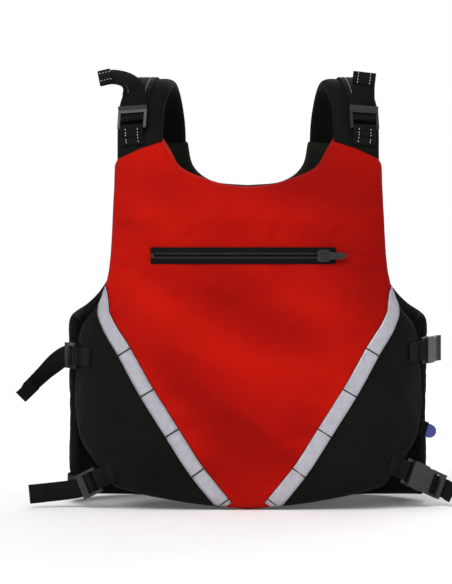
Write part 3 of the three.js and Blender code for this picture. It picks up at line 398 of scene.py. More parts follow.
def turned(bend, s, d):
    flat, radius, sweep = bend
    size = abs(s)
    angle = min(max(size - flat, 0) / radius, sweep)
    past = max(size - flat - radius * sweep, 0)
    x = min(size, flat) + (radius + d) * math.sin(angle) + past * math.cos(angle)
    back = radius - (radius + d) * math.cos(angle) + past * math.sin(angle)
    return math.copysign(x, s), back


def on_front(s, z, d):
    x, back = turned(FRONT_BEND, s, d)
    return Vector((x, -HALF_DEPTH + back + leaning(FRONT_LEAN, z) - BACK_SHIFT, z))


def on_back(s, z, d):
    x, back = turned(BACK_BEND, s, d)
    return Vector((-x, HALF_DEPTH - back - leaning(BACK_LEAN, z) - BACK_SHIFT, z))


def round_front(x):
    """How far round the front a point is whose distance from the middle is x."""
    flat, radius, _ = FRONT_BEND
    size = abs(x)
    turn = math.asin(min(max(size - flat, 0) / radius, 1))
    return math.copysign(min(size, flat) + radius * turn, x)



# Each buckle: side, distance from the middle, height, slope, length of webbing sewn to the front, height of
# the strap on the wing, and how far that strap reaches round the wing.
BUCKLES = {
    "upper_left": (-1, 0.224, 0.197, 0, 0.034, 0.190, 0.062),
    "lower_left": (-1, 0.195, 0.039, 0.42, 0.026, 0.025, 0.062),
    "upper_right": (1, 0.226, 0.204, 0, 0.034, 0.204, 0.070),
    "lower_right": (1, 0.203, 0.050, 0.39, 0.026, 0.027, 0.070),
}
print("front middle:", on_front(0, 0.2, 0), "back middle:", on_back(0, 0.2, 0))

# %% [markdown]
# A cutting pattern's edge is one smooth line between a few points. Half of it is drawn, from the middle
# of the hem round the right side to the middle of the neck, and the other half mirrors it.


# %% Pattern lines
def between(a, b, c, d, t):
    """A place on the smooth curve from b to c, whose neighbours are a and d."""
    bow, turn = 2 * a - 5 * b + 4 * c - d, 3 * b - a - 3 * c + d
    return 0.5 * (2 * b + (c - a) * t + bow * t**2 + turn * t**3)


def smooth_line(points, gap):
    """A curve through the points, marked off at an even gap."""
    points = [Vector(p) for p in points]
    points = [2 * points[0] - points[1], *points, 2 * points[-1] - points[-2]]
    fine = []
    for a, b, c, d in zip(points, points[1:], points[2:], points[3:]):
        fine += [between(a, b, c, d, i / 24) for i in range(24)]
    fine.append(points[-2])
    run = np.concatenate([[0], np.cumsum([(q - p).length for p, q in zip(fine, fine[1:])])])
    count = max(2, round(run[-1] / gap) + 1)
    even = np.linspace(0, run[-1], count)
    flat = np.array([list(p) for p in fine])
    return np.column_stack([np.interp(even, run, flat[:, i]) for i in range(flat.shape[1])])


def mirrored(half):
    other = half[1:-1][::-1] * [-1, 1]
    return np.vstack([half, other])


GAP = 0.006  # between points along an edge
front_lines = [
    [(0, 0), (78, 8), (182, 28)],
    [(182, 28), (209, 62), (224, 88), (230, 127), (230, 160), (227, 218), (221, 244)],
    [(221, 244), (203, 267), (193, 290), (186, 330), (182, 400), (180, 449)],
    [(180, 449), (174, 459), (152, 471), (112, 485)],
    [(112, 485), (101, 467), (88, 446), (60, 433), (30, 424), (0, 421)],
]
front_lines = [[(round_front(x / 1000), z / 1000) for x, z in line] for line in front_lines]
half_front = [smooth_line(line, GAP)[:-1] for line in front_lines]
front_outline = mirrored(np.vstack([*half_front, [(0, 0.421)]]))
WING_EDGE = BACK_BEND[0] + BACK_BEND[1] * BACK_BEND[2]
wing_top = [(WING_EDGE, 0.244), (WING_EDGE - 0.008, 0.248), (0.245, 0.259), (0.200, 0.290)]
armhole = [(0.172, 0.350), (0.156, 0.410), (0.150, 0.458), (0.144, 0.470)]
back_lines = [
    [(0, 0), (0.150, 0), (WING_EDGE, 0.010)],
    [(WING_EDGE, 0.010), (WING_EDGE, 0.244)],
    [*wing_top, *armhole],
    [(0.144, 0.470), (0.080, 0.474)],
    [(0.080, 0.474), (0.072, 0.440), (0.045, 0.420), (0, 0.415)],
]
half_back = [smooth_line(line, GAP)[:-1] for line in back_lines]
back_outline = mirrored(np.vstack([*half_back, [(0, 0.415)]]))
seam_points = [(14, -20), (27, 0), (68, 52), (100, 102), (133, 155)]
seam_points += [(162, 207), (180, 236), (189, 258), (190, 276), (200, 300)]
seam_right = smooth_line([(round_front(x / 1000), z / 1000) for x, z in seam_points], 0.004)
print("edge points:", len(front_outline), len(back_outline), "seam:", len(seam_right))

# %% [markdown]
# To drape cloth it is cut into small triangles. They follow the pattern's edge and its seams exactly, so
# a seam stays a clean line, and inside they are an even mesh, so that folds can run any way.


# %% Cut a pattern into triangles
def inside(points, outline):
    x, y = points[:, :1], points[:, 1:2]
    a, b = outline, np.roll(outline, -1, axis=0)
    crosses = (a[:, 1] > y) != (b[:, 1] > y)
    at = a[:, 0] + (y - a[:, 1]) * (b[:, 0] - a[:, 0]) / np.where(b[:, 1] == a[:, 1], 1, b[:, 1] - a[:, 1])
    return (crosses & (x < at)).sum(1) % 2 == 1


def distance_to(points, line, closed=True):
    a = line if closed else line[:-1]
    b = np.roll(line, -1, axis=0) if closed else line[1:]
    best = np.full(len(points), 9.0)
    for p, q in zip(a, b):
        along = q - p
        t = np.clip(((points - p) @ along) / max(along @ along, 1e-12), 0, 1)
        best = np.minimum(best, np.hypot(*(points - p - t[:, None] * along).T))
    return best


RINGS = (0.003, 0.007)  # rows of points just inside the edge


def cut_out(outline, holes=(), seams=(), gap=0.0065):
    """A pattern's points and triangles, without its holes, and with its seams along triangle sides."""
    low, high = outline.min(0), outline.max(0)
    rows = np.arange(low[1], high[1], gap * 0.866)
    grid = [(x + (i % 2) * gap / 2, y) for i, y in enumerate(rows) for x in np.arange(low[0], high[0], gap)]
    grid = np.array(grid)
    keep = inside(grid, outline) & (distance_to(grid, outline) > max(RINGS) + gap * 0.6)
    for hole in holes:
        keep &= ~inside(grid, hole) & (distance_to(grid, hole) > gap * 0.5)
    for seam in seams:
        keep &= distance_to(grid, seam, closed=False) > gap * 0.5
    grid = grid[keep]
    before, after = np.roll(outline, 1, axis=0), np.roll(outline, -1, axis=0)
    heading = after - before
    inward = np.column_stack([-heading[:, 1], heading[:, 0]]) / np.linalg.norm(heading, axis=1)[:, None]
    ringed = []
    for ring in RINGS:
        moved = outline + inward * ring
        ringed.append(moved[inside(moved, outline) & (distance_to(moved, outline) > ring * 0.9)])
    points, edges = [*outline], [(i, (i + 1) % len(outline)) for i in range(len(outline))]
    for hole in holes:
        first = len(points)
        points += [*hole]
        edges += [(first + i, first + (i + 1) % len(hole)) for i in range(len(hole))]
    for seam in seams:
        first = len(points)
        points += [*seam]
        edges += [(first + i, first + i + 1) for i in range(len(seam) - 1)]
    points = np.vstack([points, *ringed, grid])
    made, _, faces, *_ = delaunay_2d_cdt([Vector(p) for p in points], edges, [], 0, 1e-5)
    flat = np.array([list(p) for p in made])
    faces = np.array([f for f in faces if len(f) == 3])
    middles = flat[faces].mean(1)
    keep = inside(middles, outline)
    for hole in holes:
        keep &= ~inside(middles, hole)
    faces = faces[keep]
    used = np.unique(faces)
    place = np.full(len(flat), -1)
    place[used] = np.arange(len(used))
    return flat[used], place[faces]

# %% [markdown]
# A sewn panel is two sheets of cloth over a stack of foam, joined all round by one seam. So it is flat
# in the middle and rolls over to half its thickness at the edge. Cloth made only by code looks like a
# board. Here each cover is then let go in a short cloth simulation: held at its edge and seams, a
# little larger than its pattern and blown out from inside, it buckles into the folds that nylon makes.


# %% Build and settle cloth
ROLL = 0.015  # how far in from its edge a panel reaches its full thickness
EDGE_HELD, WEB_HELD = 0.0045, 0.0145
FRAMES = 20


def rolled(edge, thick):
    """How far the cover has dropped, at a distance from the edge."""
    q = 1 - np.clip(edge / ROLL, 0, 1)
    return thick / 2 * (1 - np.sqrt(1 - q * q))


def mesh_piece(name, points, faces, finish):
    mesh = bpy.data.meshes.new(name)
    mesh.from_pydata([tuple(p) for p in points], [], [tuple(int(i) for i in f) for f in faces])
    mesh.materials.append(finish)
    piece = bpy.data.objects.new(name, mesh)
    bpy.context.scene.collection.objects.link(piece)
    return piece


def cloth_piece(name, points, faces, flat, finish):
    """A smooth piece that carries its place on the flat pattern, which the weave follows."""
    piece = mesh_piece(name, points, faces, finish)
    corners = np.array([loop.vertex_index for loop in piece.data.loops])
    piece.data.uv_layers.new(name="pattern").data.foreach_set("uv", flat[corners].ravel())
    piece.data.shade_smooth()
    return piece


def settle(piece, held, pressure, slack, cap):
    """Lets the cloth go, apart from what is held, and keeps where it comes to rest."""
    group_held = piece.vertex_groups.new(name="held")
    for i in np.flatnonzero(held > 0):
        group_held.add([int(i)], float(held[i]), "REPLACE")
    made = piece.modifiers.new("settle", "CLOTH")
    made.settings.quality = 6
    made.settings.mass = 0.2
    made.settings.tension_stiffness = 25
    made.settings.compression_stiffness = 12
    made.settings.shear_stiffness = 8
    made.settings.bending_stiffness = 0.6
    made.settings.vertex_group_mass = "held"
    made.settings.use_pressure = True
    made.settings.uniform_pressure_force = pressure
    made.settings.shrink_min = -slack
    made.settings.effector_weights.gravity = 0
    made.collision_settings.use_collision = False
    made.point_cache.frame_start = 1
    made.point_cache.frame_end = FRAMES
    for i in range(1, FRAMES + 1):
        bpy.context.scene.frame_set(i)
    seen = piece.evaluated_get(bpy.context.evaluated_depsgraph_get())
    rest, moved = (np.array([list(v.co) for v in o.data.vertices]) for o in (piece, seen))
    move = moved - rest
    length = np.linalg.norm(move, axis=1)
    move *= (np.minimum(length, cap) / np.maximum(length, 1e-9))[:, None]
    piece.modifiers.remove(made)
    piece.data.vertices.foreach_set("co", (rest + move).ravel())
    piece.data.update()
    bpy.context.scene.frame_set(1)
    print(piece.name, "settled, largest move:", round(float(length.max()) * 1000, 1), "mm")


def split(whole, flat, faces, part, name, finish):
    """The faces of a settled cloth that lie in one part of its pattern, as a piece of their own."""
    chosen = faces[part]
    used = np.unique(chosen)
    place = np.zeros(len(flat), int)
    place[used] = np.arange(len(used))
    points = np.array([list(v.co) for v in whole.data.vertices])
    piece = cloth_piece(name, points[used], place[chosen], flat[used], finish)
    finer = piece.modifiers.new("finer", "SUBSURF")
    finer.levels = finer.render_levels = 1
    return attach(piece, "jacket")


def lining_piece(name, outline, thickness_of, bend_to, order, *stands_for):
    """The cloth on the inside of a panel, with its triangles turned by order to face inwards."""
    flat, faces = cut_out(outline, gap=0.009)
    edge = distance_to(flat, outline)
    thick = thickness_of(flat[:, 0])
    points = [bend_to(s, z, d) for (s, z), d in zip(flat, rolled(edge, thick) - thick)]
    piece = cloth_piece(name, points, faces[:, ::order], flat, lining_cloth)
    settle(piece, (edge < EDGE_HELD).astype(float), 0.8, 0.008, 0.003)
    piece.modifiers.new("finer", "SUBSURF").levels = 1
    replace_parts(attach(piece, "jacket"), *stands_for)


# %% [markdown]
# The front is one sheet in three colours: red between the two seams of the V, black outside them. It
# has a slot behind the zip. What is sewn flat is held: the edge, the band under the reflective tape, the
# edge of the slot, and the webbing at each side.

# %% Front cover
PANEL = 0.0296
SLOT = np.array([(-0.125, 0.323), (0.114, 0.323), (0.114, 0.341), (-0.125, 0.341)])
slot_sides = zip(SLOT, np.roll(SLOT, -1, axis=0))
slot_line = np.vstack([smooth_line([a, (a + b) / 2, b], 0.006)[:-1] for a, b in slot_sides])
seam_left = seam_right * [-1, 1]
seam_of = [s[inside(s, front_outline)] for s in (seam_left, seam_right)]
front_flat, front_faces = cut_out(front_outline, [slot_line], seam_of)
side_webs = []  # the centre line of each strap sewn to the front: its ends as (s, z)
for side, x, z, slope, length, *_ in BUCKLES.values():
    s = side * round_front(x)
    run = length * math.cos(slope)
    inner = (s - side * run, z + run * math.tan(slope))
    outer = (s + side * 0.03, z - 0.03 * math.tan(slope))
    side_webs.append(np.array([inner, outer]))
front_edge = distance_to(front_flat, front_outline)
tape_held = np.minimum(*(distance_to(front_flat, s, closed=False) for s in seam_of)) < 0.0115
slot_held = (distance_to(front_flat, slot_line) < 0.0035) | inside(front_flat, slot_line)
web_held = np.minimum.reduce([distance_to(front_flat, w, closed=False) for w in side_webs]) < WEB_HELD
depth = -rolled(front_edge, PANEL) - 0.0012 * (distance_to(front_flat, slot_line) < 0.0005)
depth -= 0.0012 * web_held
front_points = [on_front(s, z, d) for (s, z), d in zip(front_flat, depth)]
front_cloth = cloth_piece("front_cloth", front_points, front_faces, front_flat, red_nylon)
held = (tape_held | slot_held | web_held | (front_edge < EDGE_HELD)).astype(float)
settle(front_cloth, held, 1.6, 0.012, 0.006)
far = 0.34
above = [(far, 0.300), (far, 0.54), (-far, 0.54), (-far, 0.300)]
centre_region = np.vstack([seam_right, above, seam_left[::-1]])
middles = front_flat[front_faces].mean(1)
red_part = inside(middles, centre_region)
front_centre = split(front_cloth, front_flat, front_faces, red_part, "front_centre", red_nylon)
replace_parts(front_centre, "front_cover_centre", "front_foam_outer", "front_foam_inner")
for side, sign in (("left", -1), ("right", 1)):
    black_part = ~red_part & (middles[:, 0] * sign > 0)
    name = f"front_side_{side}"
    piece = split(front_cloth, front_flat, front_faces, black_part, name, black_nylon)
    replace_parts(piece, f"front_cover_{side}")
bpy.data.objects.remove(front_cloth)
print("front cover triangles:", len(front_faces))


# %% Front lining
def front_thickness(s):
    return np.full(len(s), PANEL)


lining_piece("front_inside", front_outline, front_thickness, on_front, -1, "front_lining")
print("front lining made")

# %% [markdown]
# The back and the two side wings are also one sheet, red in the middle. The wings are half as thick as
# the back, because they bend round the ribs, so the lining comes closer to the cover there.

# %% Back and wings
WING = 0.0141
BACK_SEAM = 0.118
back_seams = [np.array([(sign * BACK_SEAM, z) for z in np.arange(0.006, 0.466, 0.005)]) for sign in (-1, 1)]
back_flat, back_faces = cut_out(back_outline, [], back_seams)


def back_thickness(s):
    t = np.clip((np.abs(s) - 0.150) / 0.022, 0, 1)
    return PANEL + (WING - PANEL) * t * t * (3 - 2 * t)


back_edge = distance_to(back_flat, back_outline)
seam_near = np.minimum(*(distance_to(back_flat, s, closed=False) for s in back_seams)) < 0.002
strap_lands = []  # the centre line of each strap sewn to a wing
for side, *_, strap_z, _ in BUCKLES.values():
    strap_lands.append(np.array([(-side * 0.255, strap_z), (-side * 0.345, strap_z)]))
lands_held = np.minimum.reduce([distance_to(back_flat, w, closed=False) for w in strap_lands]) < WEB_HELD
depth = -rolled(back_edge, back_thickness(back_flat[:, 0])) - 0.0015 * (seam_near | lands_held)
back_points = [on_back(s, z, d) for (s, z), d in zip(back_flat, depth)]
back_cloth = cloth_piece("back_cloth", back_points, back_faces[:, ::-1], back_flat, red_nylon)
settle(back_cloth, (seam_near | lands_held | (back_edge < EDGE_HELD)).astype(float), 1.6, 0.012, 0.006)
middles = back_flat[back_faces].mean(1)
red_part = np.abs(middles[:, 0]) < BACK_SEAM
back_order = back_faces[:, ::-1]
back_centre = split(back_cloth, back_flat, back_order, red_part, "back_centre", red_nylon)
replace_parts(back_centre, "back_cover_centre", "back_foam_outer", "back_foam_inner")
for side, sign in (("left", 1), ("right", -1)):
    black_part = ~red_part & (middles[:, 0] * sign > 0)
    piece = split(back_cloth, back_flat, back_order, black_part, f"wing_{side}", black_nylon)
    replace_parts(piece, f"wing_cover_{side}", f"wing_foam_{side}")
bpy.data.objects.remove(back_cloth)

# %% Back lining
stands_for = ("back_lining", "wing_lining_left", "wing_lining_right")
lining_piece("back_inside", back_outline, back_thickness, on_back, 1, *stands_for)
print("back triangles:", len(back_faces))

# %% [markdown]
# Tape, thread and seam lines lie on cloth that has moved. So each of them is drawn on the flat pattern,
# and this finder gives the point of the settled cloth that belongs to a point of the pattern, lifted
# off it by the thickness of what lies there.


# %% Points on the settled cloth
class Cover:
    def __init__(self, names, bend_to):
        self.flat, self.points, self.faces = [], [], []
        for piece in (bpy.data.objects[name] for name in names):
            first = len(self.points)
            pattern = {}
            for loop, uv in zip(piece.data.loops, piece.data.uv_layers["pattern"].data):
                pattern[loop.vertex_index] = (*uv.uv, 0)
            self.flat += [Vector(pattern[i]) for i in range(len(piece.data.vertices))]
            self.points += [v.co.copy() for v in piece.data.vertices]
            self.faces += [[first + i for i in p.vertices] for p in piece.data.polygons]
        self.tree = BVHTree.FromPolygons(self.flat, self.faces)
        self.bend_to = bend_to

    def at(self, s, z, lift):
        """The point of the settled cloth for a point of the pattern, and the way out of it."""
        near, _, i, _ = self.tree.find_nearest(Vector((s, z, 0)))
        a, b, c = self.faces[i]
        flat, points = self.flat, self.points
        place = barycentric_transform(near, flat[a], flat[b], flat[c], points[a], points[b], points[c])
        out = (self.bend_to(s, z, 1.0) - self.bend_to(s, z, 0.0)).normalized()
        return place + out * lift, out


front_cover = Cover(("front_centre", "front_side_left", "front_side_right"), on_front)
back_cover = Cover(("back_centre", "wing_left", "wing_right"), on_back)
print("pattern faces:", len(front_cover.faces), len(back_cover.faces))


# %% Ribbons and stitches
def sheet_piece(name, rows, finish, thick):
    """A ribbon from rows of points, each row lying across it."""
    rows = np.array([[list(p) for p in row] for row in rows])
    count, wide = rows.shape[:2]
    ids = np.arange(count * wide).reshape(count, wide)
    faces = np.stack([ids[:-1, :-1], ids[:-1, 1:], ids[1:, 1:], ids[1:, :-1]], axis=-1).reshape(-1, 4)
    run = np.concatenate([[0], np.cumsum(np.linalg.norm(np.diff(rows.mean(1), axis=0), axis=1))])
    side = np.linalg.norm(rows - rows.mean(1)[:, None], axis=2) * np.sign(np.arange(wide) - (wide - 1) / 2)
    flat = np.dstack([side, np.repeat(run[:, None], wide, axis=1)]).reshape(-1, 2)
    piece = cloth_piece(name, rows.reshape(-1, 3), faces, flat, finish)
    backed = piece.modifiers.new("thickness", "SOLIDIFY")
    backed.thickness = thick
    backed.offset = -1
    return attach(piece, "jacket")


def stitches(name, places, length, radius, finish, body="jacket"):
    """Little beads of thread. Each place is a point, the way the stitch runs and the way out."""
    ring = [(math.cos(a), math.sin(a)) for a in np.linspace(0, 2 * math.pi, 6, endpoint=False)]
    points, faces = [], []
    for centre, heading, out in places:
        heading = heading.normalized()
        side = out.cross(heading).normalized()
        first = len(points)
        points.append(centre - heading * length / 2)
        for along, wide in ((-0.36, 0.75), (0, 1), (0.36, 0.75)):
            middle = centre + heading * along * length
            points += [middle + (side * x + out * y) * radius * wide for x, y in ring]
        points.append(centre + heading * length / 2)
        last = len(points) - 1
        for j in range(6):
            k = (j + 1) % 6
            faces.append((first, first + 1 + k, first + 1 + j))
            for r in range(2):
                a = first + 1 + 6 * r
                faces.append((a + j, a + k, a + 6 + k, a + 6 + j))
            faces.append((last, last - 6 + j, last - 6 + k))
    piece = mesh_piece(name, points, faces, finish)
    piece.data.shade_smooth()
    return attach(piece, body)


def row_on(cover, line, pitch, lift):
    """Evenly spaced places along a pattern line on a cover, for a row of stitches."""
    even = smooth_line([tuple(p) for p in line], pitch)
    spots = [cover.at(s, z, lift) for s, z in even]
    return [(p, q - p, out) for (p, out), (q, _) in zip(spots, spots[1:])]


def beside(line, shift):
    """A pattern line moved sideways."""
    heading = np.gradient(line, axis=0)
    heading /= np.linalg.norm(heading, axis=1)[:, None]
    return line + np.column_stack([heading[:, 1], -heading[:, 0]]) * shift


# %% [markdown]
# The reflective V is 20 mm tape, sewn along both edges with small dark stitches and tacked across with
# short thick bars of black thread, which leave loops to clip things to. A thin black cord along each edge
# of the tape, in the dark thread finish, is painted shade where the tape is folded under.

# %% Reflective tape
TAPE_HALF = 0.010
for side, seam in (("left", seam_of[0]), ("right", seam_of[1])):
    line = smooth_line([tuple(p) for p in seam[::3]] + [tuple(seam[-1])], 0.004)
    across = np.linspace(-TAPE_HALF, TAPE_HALF, 7)
    rows = [[None] * 7 for _ in line]
    for j, shift in enumerate(across):
        crown = 0.0009 + 0.0005 * (1 - (shift / TAPE_HALF) ** 2)
        for i, (s, z) in enumerate(beside(line, shift)):
            ripple = 0.0003 * math.sin(i * 1.7 + (0 if side == "left" else 2))
            rows[i][j] = front_cover.at(s, z, crown + ripple * (1 - abs(shift) / TAPE_HALF))[0]
    rows = [row[::-1] for row in rows] if side == "left" else rows
    tape = sheet_piece(f"tape_{side}", rows[::-1], reflective, thick=0.0006)
    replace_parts(tape, f"reflective_tape_{side}")
    length = float(np.linalg.norm(np.diff(line, axis=0), axis=1).sum())
    for edge in (-1, 1):
        name = "inner" if (edge < 0) == (side == "right") else "outer"
        dots = row_on(front_cover, beside(line, edge * (TAPE_HALF - 0.0022)), 0.0026, 0.0016)
        stitches(f"tape_stitches_{side}_{name}", dots, 0.0014, 0.00022, black_thread_and_edge_shade)
        # Painted shade: a dark cord along each edge of the tape stands for the shade where it is folded
        # under.
        folded = row_on(front_cover, beside(line, edge * (TAPE_HALF + 0.0002)), 0.003, 0.0009)
        stitches(f"tape_edge_{side}_{name}", folded, 0.0042, 0.00045, black_thread_and_edge_shade)
    tacks = []
    run = np.concatenate([[0], np.cumsum(np.linalg.norm(np.diff(line, axis=0), axis=1))])
    for height in (0.206, 0.153, 0.101, 0.049, 0.008):
        at = float(np.interp(height, line[:, 1], run))
        for shift in np.arange(-TAPE_HALF, TAPE_HALF + 0.0001, 0.0011):
            moved = beside(line, shift)
            s, z = (float(np.interp(at, run, moved[:, i])) for i in range(2))
            place, out = front_cover.at(s, z, 0.0017)
            tacks.append((place, front_cover.at(s, z + 0.001, 0.0017)[0] - place, out))
    stitches(f"tape_tacks_{side}", tacks, 0.0026, 0.0007, black_thread_and_edge_shade)
print("tape and tacks made")

# %% [markdown]
# Seams elsewhere show as a row of small stitches in the colour of the cloth: round the slot of the
# zip, and on both sides of each seam of the back.

# %% Seam stitches
rim = slot_line + (slot_line - slot_line.mean(0)) / np.abs(slot_line - slot_line.mean(0)).max(0) * 0.0032
dots = row_on(front_cover, np.vstack([rim, rim[:1]]), 0.003, 0.0003)
stitches("zip_frame_stitches", dots, 0.0018, 0.0002, red_thread)
for side, seam in (("left", back_seams[0]), ("right", back_seams[1])):
    for where_to, shift in (("a", 0.003), ("b", -0.003)):
        dots = row_on(back_cover, beside(seam, shift), 0.0035, 0.0002)
        stitches(f"back_seam_{side}_{where_to}", dots, 0.0022, 0.00022, black_thread_and_edge_shade)
print("seams stitched")

# %% [markdown]
# The zip is a coarse moulded one. Its CAD has a plain bar for each row of teeth, so the teeth are made
# here one by one: each grips its tape from above, with a head that reaches nearly to the middle, and
# the two rows are half a tooth out of step. The middle stays clear, because the slider's post runs there.

# %% Zip
ZIP_Z = 0.332
ZIP_LEFT, ZIP_RIGHT = -0.124, 0.113
PITCH = 0.0028
FOOT, HEAD = (0.0007, 0.0006, 0.0019, -0.0009, 0.0022), (0.0009, 0.0012, 0.0042, 0.0012, 0.0021)
QUADS = [(0, 3, 2, 1), (4, 5, 6, 7), (0, 1, 5, 4), (1, 2, 6, 5), (2, 3, 7, 6), (3, 0, 4, 7)]
for row_name, sign in (("upper", 1), ("lower", -1)):
    points, faces = [], []
    x = ZIP_LEFT + 0.0026 + (PITCH / 2 if sign > 0 else 0)
    while x < ZIP_RIGHT - 0.002:
        for half, z0, z1, d0, d1 in (FOOT, HEAD):
            first = len(points)
            for d, wide in ((d0, half), (d1, 0.7 * half)):
                for dx, z in ((-wide, z0), (wide, z0), (wide, z1), (-wide, z1)):
                    points.append(on_front(x + dx, ZIP_Z + sign * z, d))
            faces += [tuple(first + i for i in q[:: -sign]) for q in QUADS]
        x += PITCH
    teeth = mesh_piece(f"teeth_{row_name}", points, faces, tooth_plastic)
    teeth.modifiers.new("moulded edge", "BEVEL").width = 0.00018
    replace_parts(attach(teeth, "jacket"), f"zip_teeth_{row_name}")
    low, high = sorted((ZIP_Z + sign * 0.0022, ZIP_Z + sign * 0.0107))
    heights = np.linspace(low, high, 6)
    along = np.arange(ZIP_LEFT - 0.003, ZIP_RIGHT + 0.0031, 0.004)
    rows = [[on_front(x, z, 0.0011 - 0.0004 * (abs(z - ZIP_Z) > 0.0105)) for x in along] for z in heights]
    tape = sheet_piece(f"zip_cloth_{row_name}", rows, zip_cloth, thick=0.0007)
    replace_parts(tape, f"zip_tape_{row_name}")
print("faces in each row of teeth:", len(faces))

# %% [markdown]
# The buckles are hard, and sit on the CAD's panels, which bend in flat facets. Straps have to meet the
# buckles exactly, so their ends are placed on those facets too. Where cloth lies under a buckle it is
# pressed down a little, as a sewn-on strap presses it.

# %% The facets that carry the buckles
LAYER = 0.0003  # between things that touch
WEB = 0.0016
SIDE_WEB, SHOULDER_WEB = 0.025, 0.030


def facets(bend, count):
    flat, radius, sweep = bend
    angles = [sweep * k / count for k in range(count + 1)]
    bent = [(flat + radius * a, flat + radius * math.sin(a), radius * (1 - math.cos(a))) for a in angles]
    corners = [(0, 0, 0), *bent]
    turns = [math.atan2(q[2] - p[2], q[1] - p[1]) for p, q in zip(corners, corners[1:])]
    made = []
    for k, (s, x, back) in enumerate(corners):
        before, after = turns[max(k - 1, 0)], turns[min(k, len(turns) - 1)]
        reach, angle = 1 / math.cos((after - before) / 2), (before + after) / 2
        made.append((s, x, back, reach * math.sin(angle), -reach * math.cos(angle)))
    return made


FRONT_FACETS, BACK_FACETS = facets(FRONT_BEND, 5), facets(BACK_BEND, 6)


def folded(corners, s, d):
    size = abs(s)
    k = 1
    while k < len(corners) - 1 and size > corners[k][0]:
        k += 1
    a, b = np.array(corners[k - 1]), np.array(corners[k])
    _, x, back, out_x, out_back = a + (b - a) * (size - a[0]) / (b[0] - a[0])
    return math.copysign(x + d * out_x, s), back + d * out_back


def hard_front(s, z, d):
    x, back = folded(FRONT_FACETS, s, d)
    return Vector((x, -HALF_DEPTH + back + leaning(FRONT_LEAN, z) - BACK_SHIFT, z))


def hard_back(s, z, d):
    x, back = folded(BACK_FACETS, s, d)
    return Vector((-x, HALF_DEPTH - back - leaning(BACK_LEAN, z) - BACK_SHIFT, z))


def frame_at(origin, along, out):
    along = along.normalized()
    out = (out - along * out.dot(along)).normalized()
    made = Matrix((along, out.cross(along), out)).transposed().to_4x4()
    made.translation = origin
    return made


def side_frame(side, x, z, slope):
    s = side * round_front(x)
    tangent = (hard_front(s + side * 0.001, z, 0) - hard_front(s - side * 0.001, z, 0)).normalized()
    up = (hard_front(s, z + 0.001, 0) - hard_front(s, z - 0.001, 0)).normalized()
    heading = tangent * math.cos(slope) - up * math.sin(slope)
    return frame_at(hard_front(s, z, 0), heading, tangent.cross(up) * side)


# %% [markdown]
# A shoulder pad is a long narrow cushion, bent over the shoulder from the front panel to the back one.
# Its middle line is a few points, with a rounded section swept along them. Two lines of stitching run
# along it, which hold it down while the cloth between them puffs up.

# %% Shoulder pads
PAD_HALF, PAD_THICK, FOAM_TOP = 0.030, 0.014, 0.443


def under_panel(z, x, hug):
    leans = FRONT_LEAN if hug > 0 else BACK_LEAN
    slope = (leaning(leans, z + 0.005) - leaning(leans, z - 0.005)) / 0.01
    inwards = leaning(leans, z) + 0.0026 + PAD_THICK / 2 * math.hypot(1, slope)
    return (x, hug * (inwards - HALF_DEPTH), z, hug)


PAD_LINE = [
    under_panel(FOAM_TOP + 0.005, 0.141, 1),
    under_panel(0.470, 0.141, 1),
    under_panel(0.494, 0.141, 1),
    (0.139, -0.068, 0.522, 0.8),
    (0.133, -0.046, 0.541, 0.45),
    (0.128, -0.020, 0.550, 0.1),
    (0.124, 0.008, 0.550, -0.1),
    (0.120, 0.034, 0.540, -0.35),
    (0.116, 0.056, 0.521, -0.7),
    (0.113, 0.073, 0.497, -0.9),
    under_panel(0.470, 0.112, -1),
    under_panel(0.442, 0.112, -1),
    under_panel(FOAM_TOP - 0.030, 0.112, -1),
]


def pad_normal(k):
    last = len(PAD_LINE) - 1
    heads = []
    for i in (max(k - 1, 0), min(k, last - 1)):
        (_, y, z, _), (_, next_y, next_z, _) = PAD_LINE[i], PAD_LINE[i + 1]
        heads.append(math.atan2(next_z - z, next_y - y))
    before, after = heads
    reach = 1 / math.cos((after - before) / 2)
    return np.array((-reach * math.sin((before + after) / 2), reach * math.cos((before + after) / 2)))


def on_pad(side, a, k, up):
    i = min(int(k), len(PAD_LINE) - 2)
    t = k - i
    x, y, z, hug = np.array(PAD_LINE[i]) * (1 - t) + np.array(PAD_LINE[i + 1]) * t
    ny, nz = pad_normal(i) * (1 - t) + pad_normal(i + 1) * t
    x += a
    corners = FRONT_FACETS if hug > 0 else BACK_FACETS
    back = float(np.interp(x, [c[1] for c in corners], [c[2] for c in corners]))
    return Vector((side * x, y + up * ny + hug * back - BACK_SHIFT, z + up * nz))


def even_rows(rows, count):
    """More rows between the given ones, on a curve through them."""
    rows = np.array(rows)
    padded_rows = np.concatenate([[2 * rows[0] - rows[1]], rows, [2 * rows[-1] - rows[-2]]])
    made = []
    for a, b, c, d in zip(padded_rows, padded_rows[1:], padded_rows[2:], padded_rows[3:]):
        made += [between(a, b, c, d, t) for t in np.arange(count) / count]
    return np.array([*made, rows[-1]])


def tube_faces(count, around):
    ids = np.arange(count * around).reshape(count, around)
    beside_it = np.roll(ids, -1, axis=1)
    sides = np.stack([ids[:-1], beside_it[:-1], beside_it[1:], ids[1:]], axis=-1)
    return [*sides.reshape(-1, 4).tolist(), ids[0][::-1].tolist(), ids[-1].tolist()]


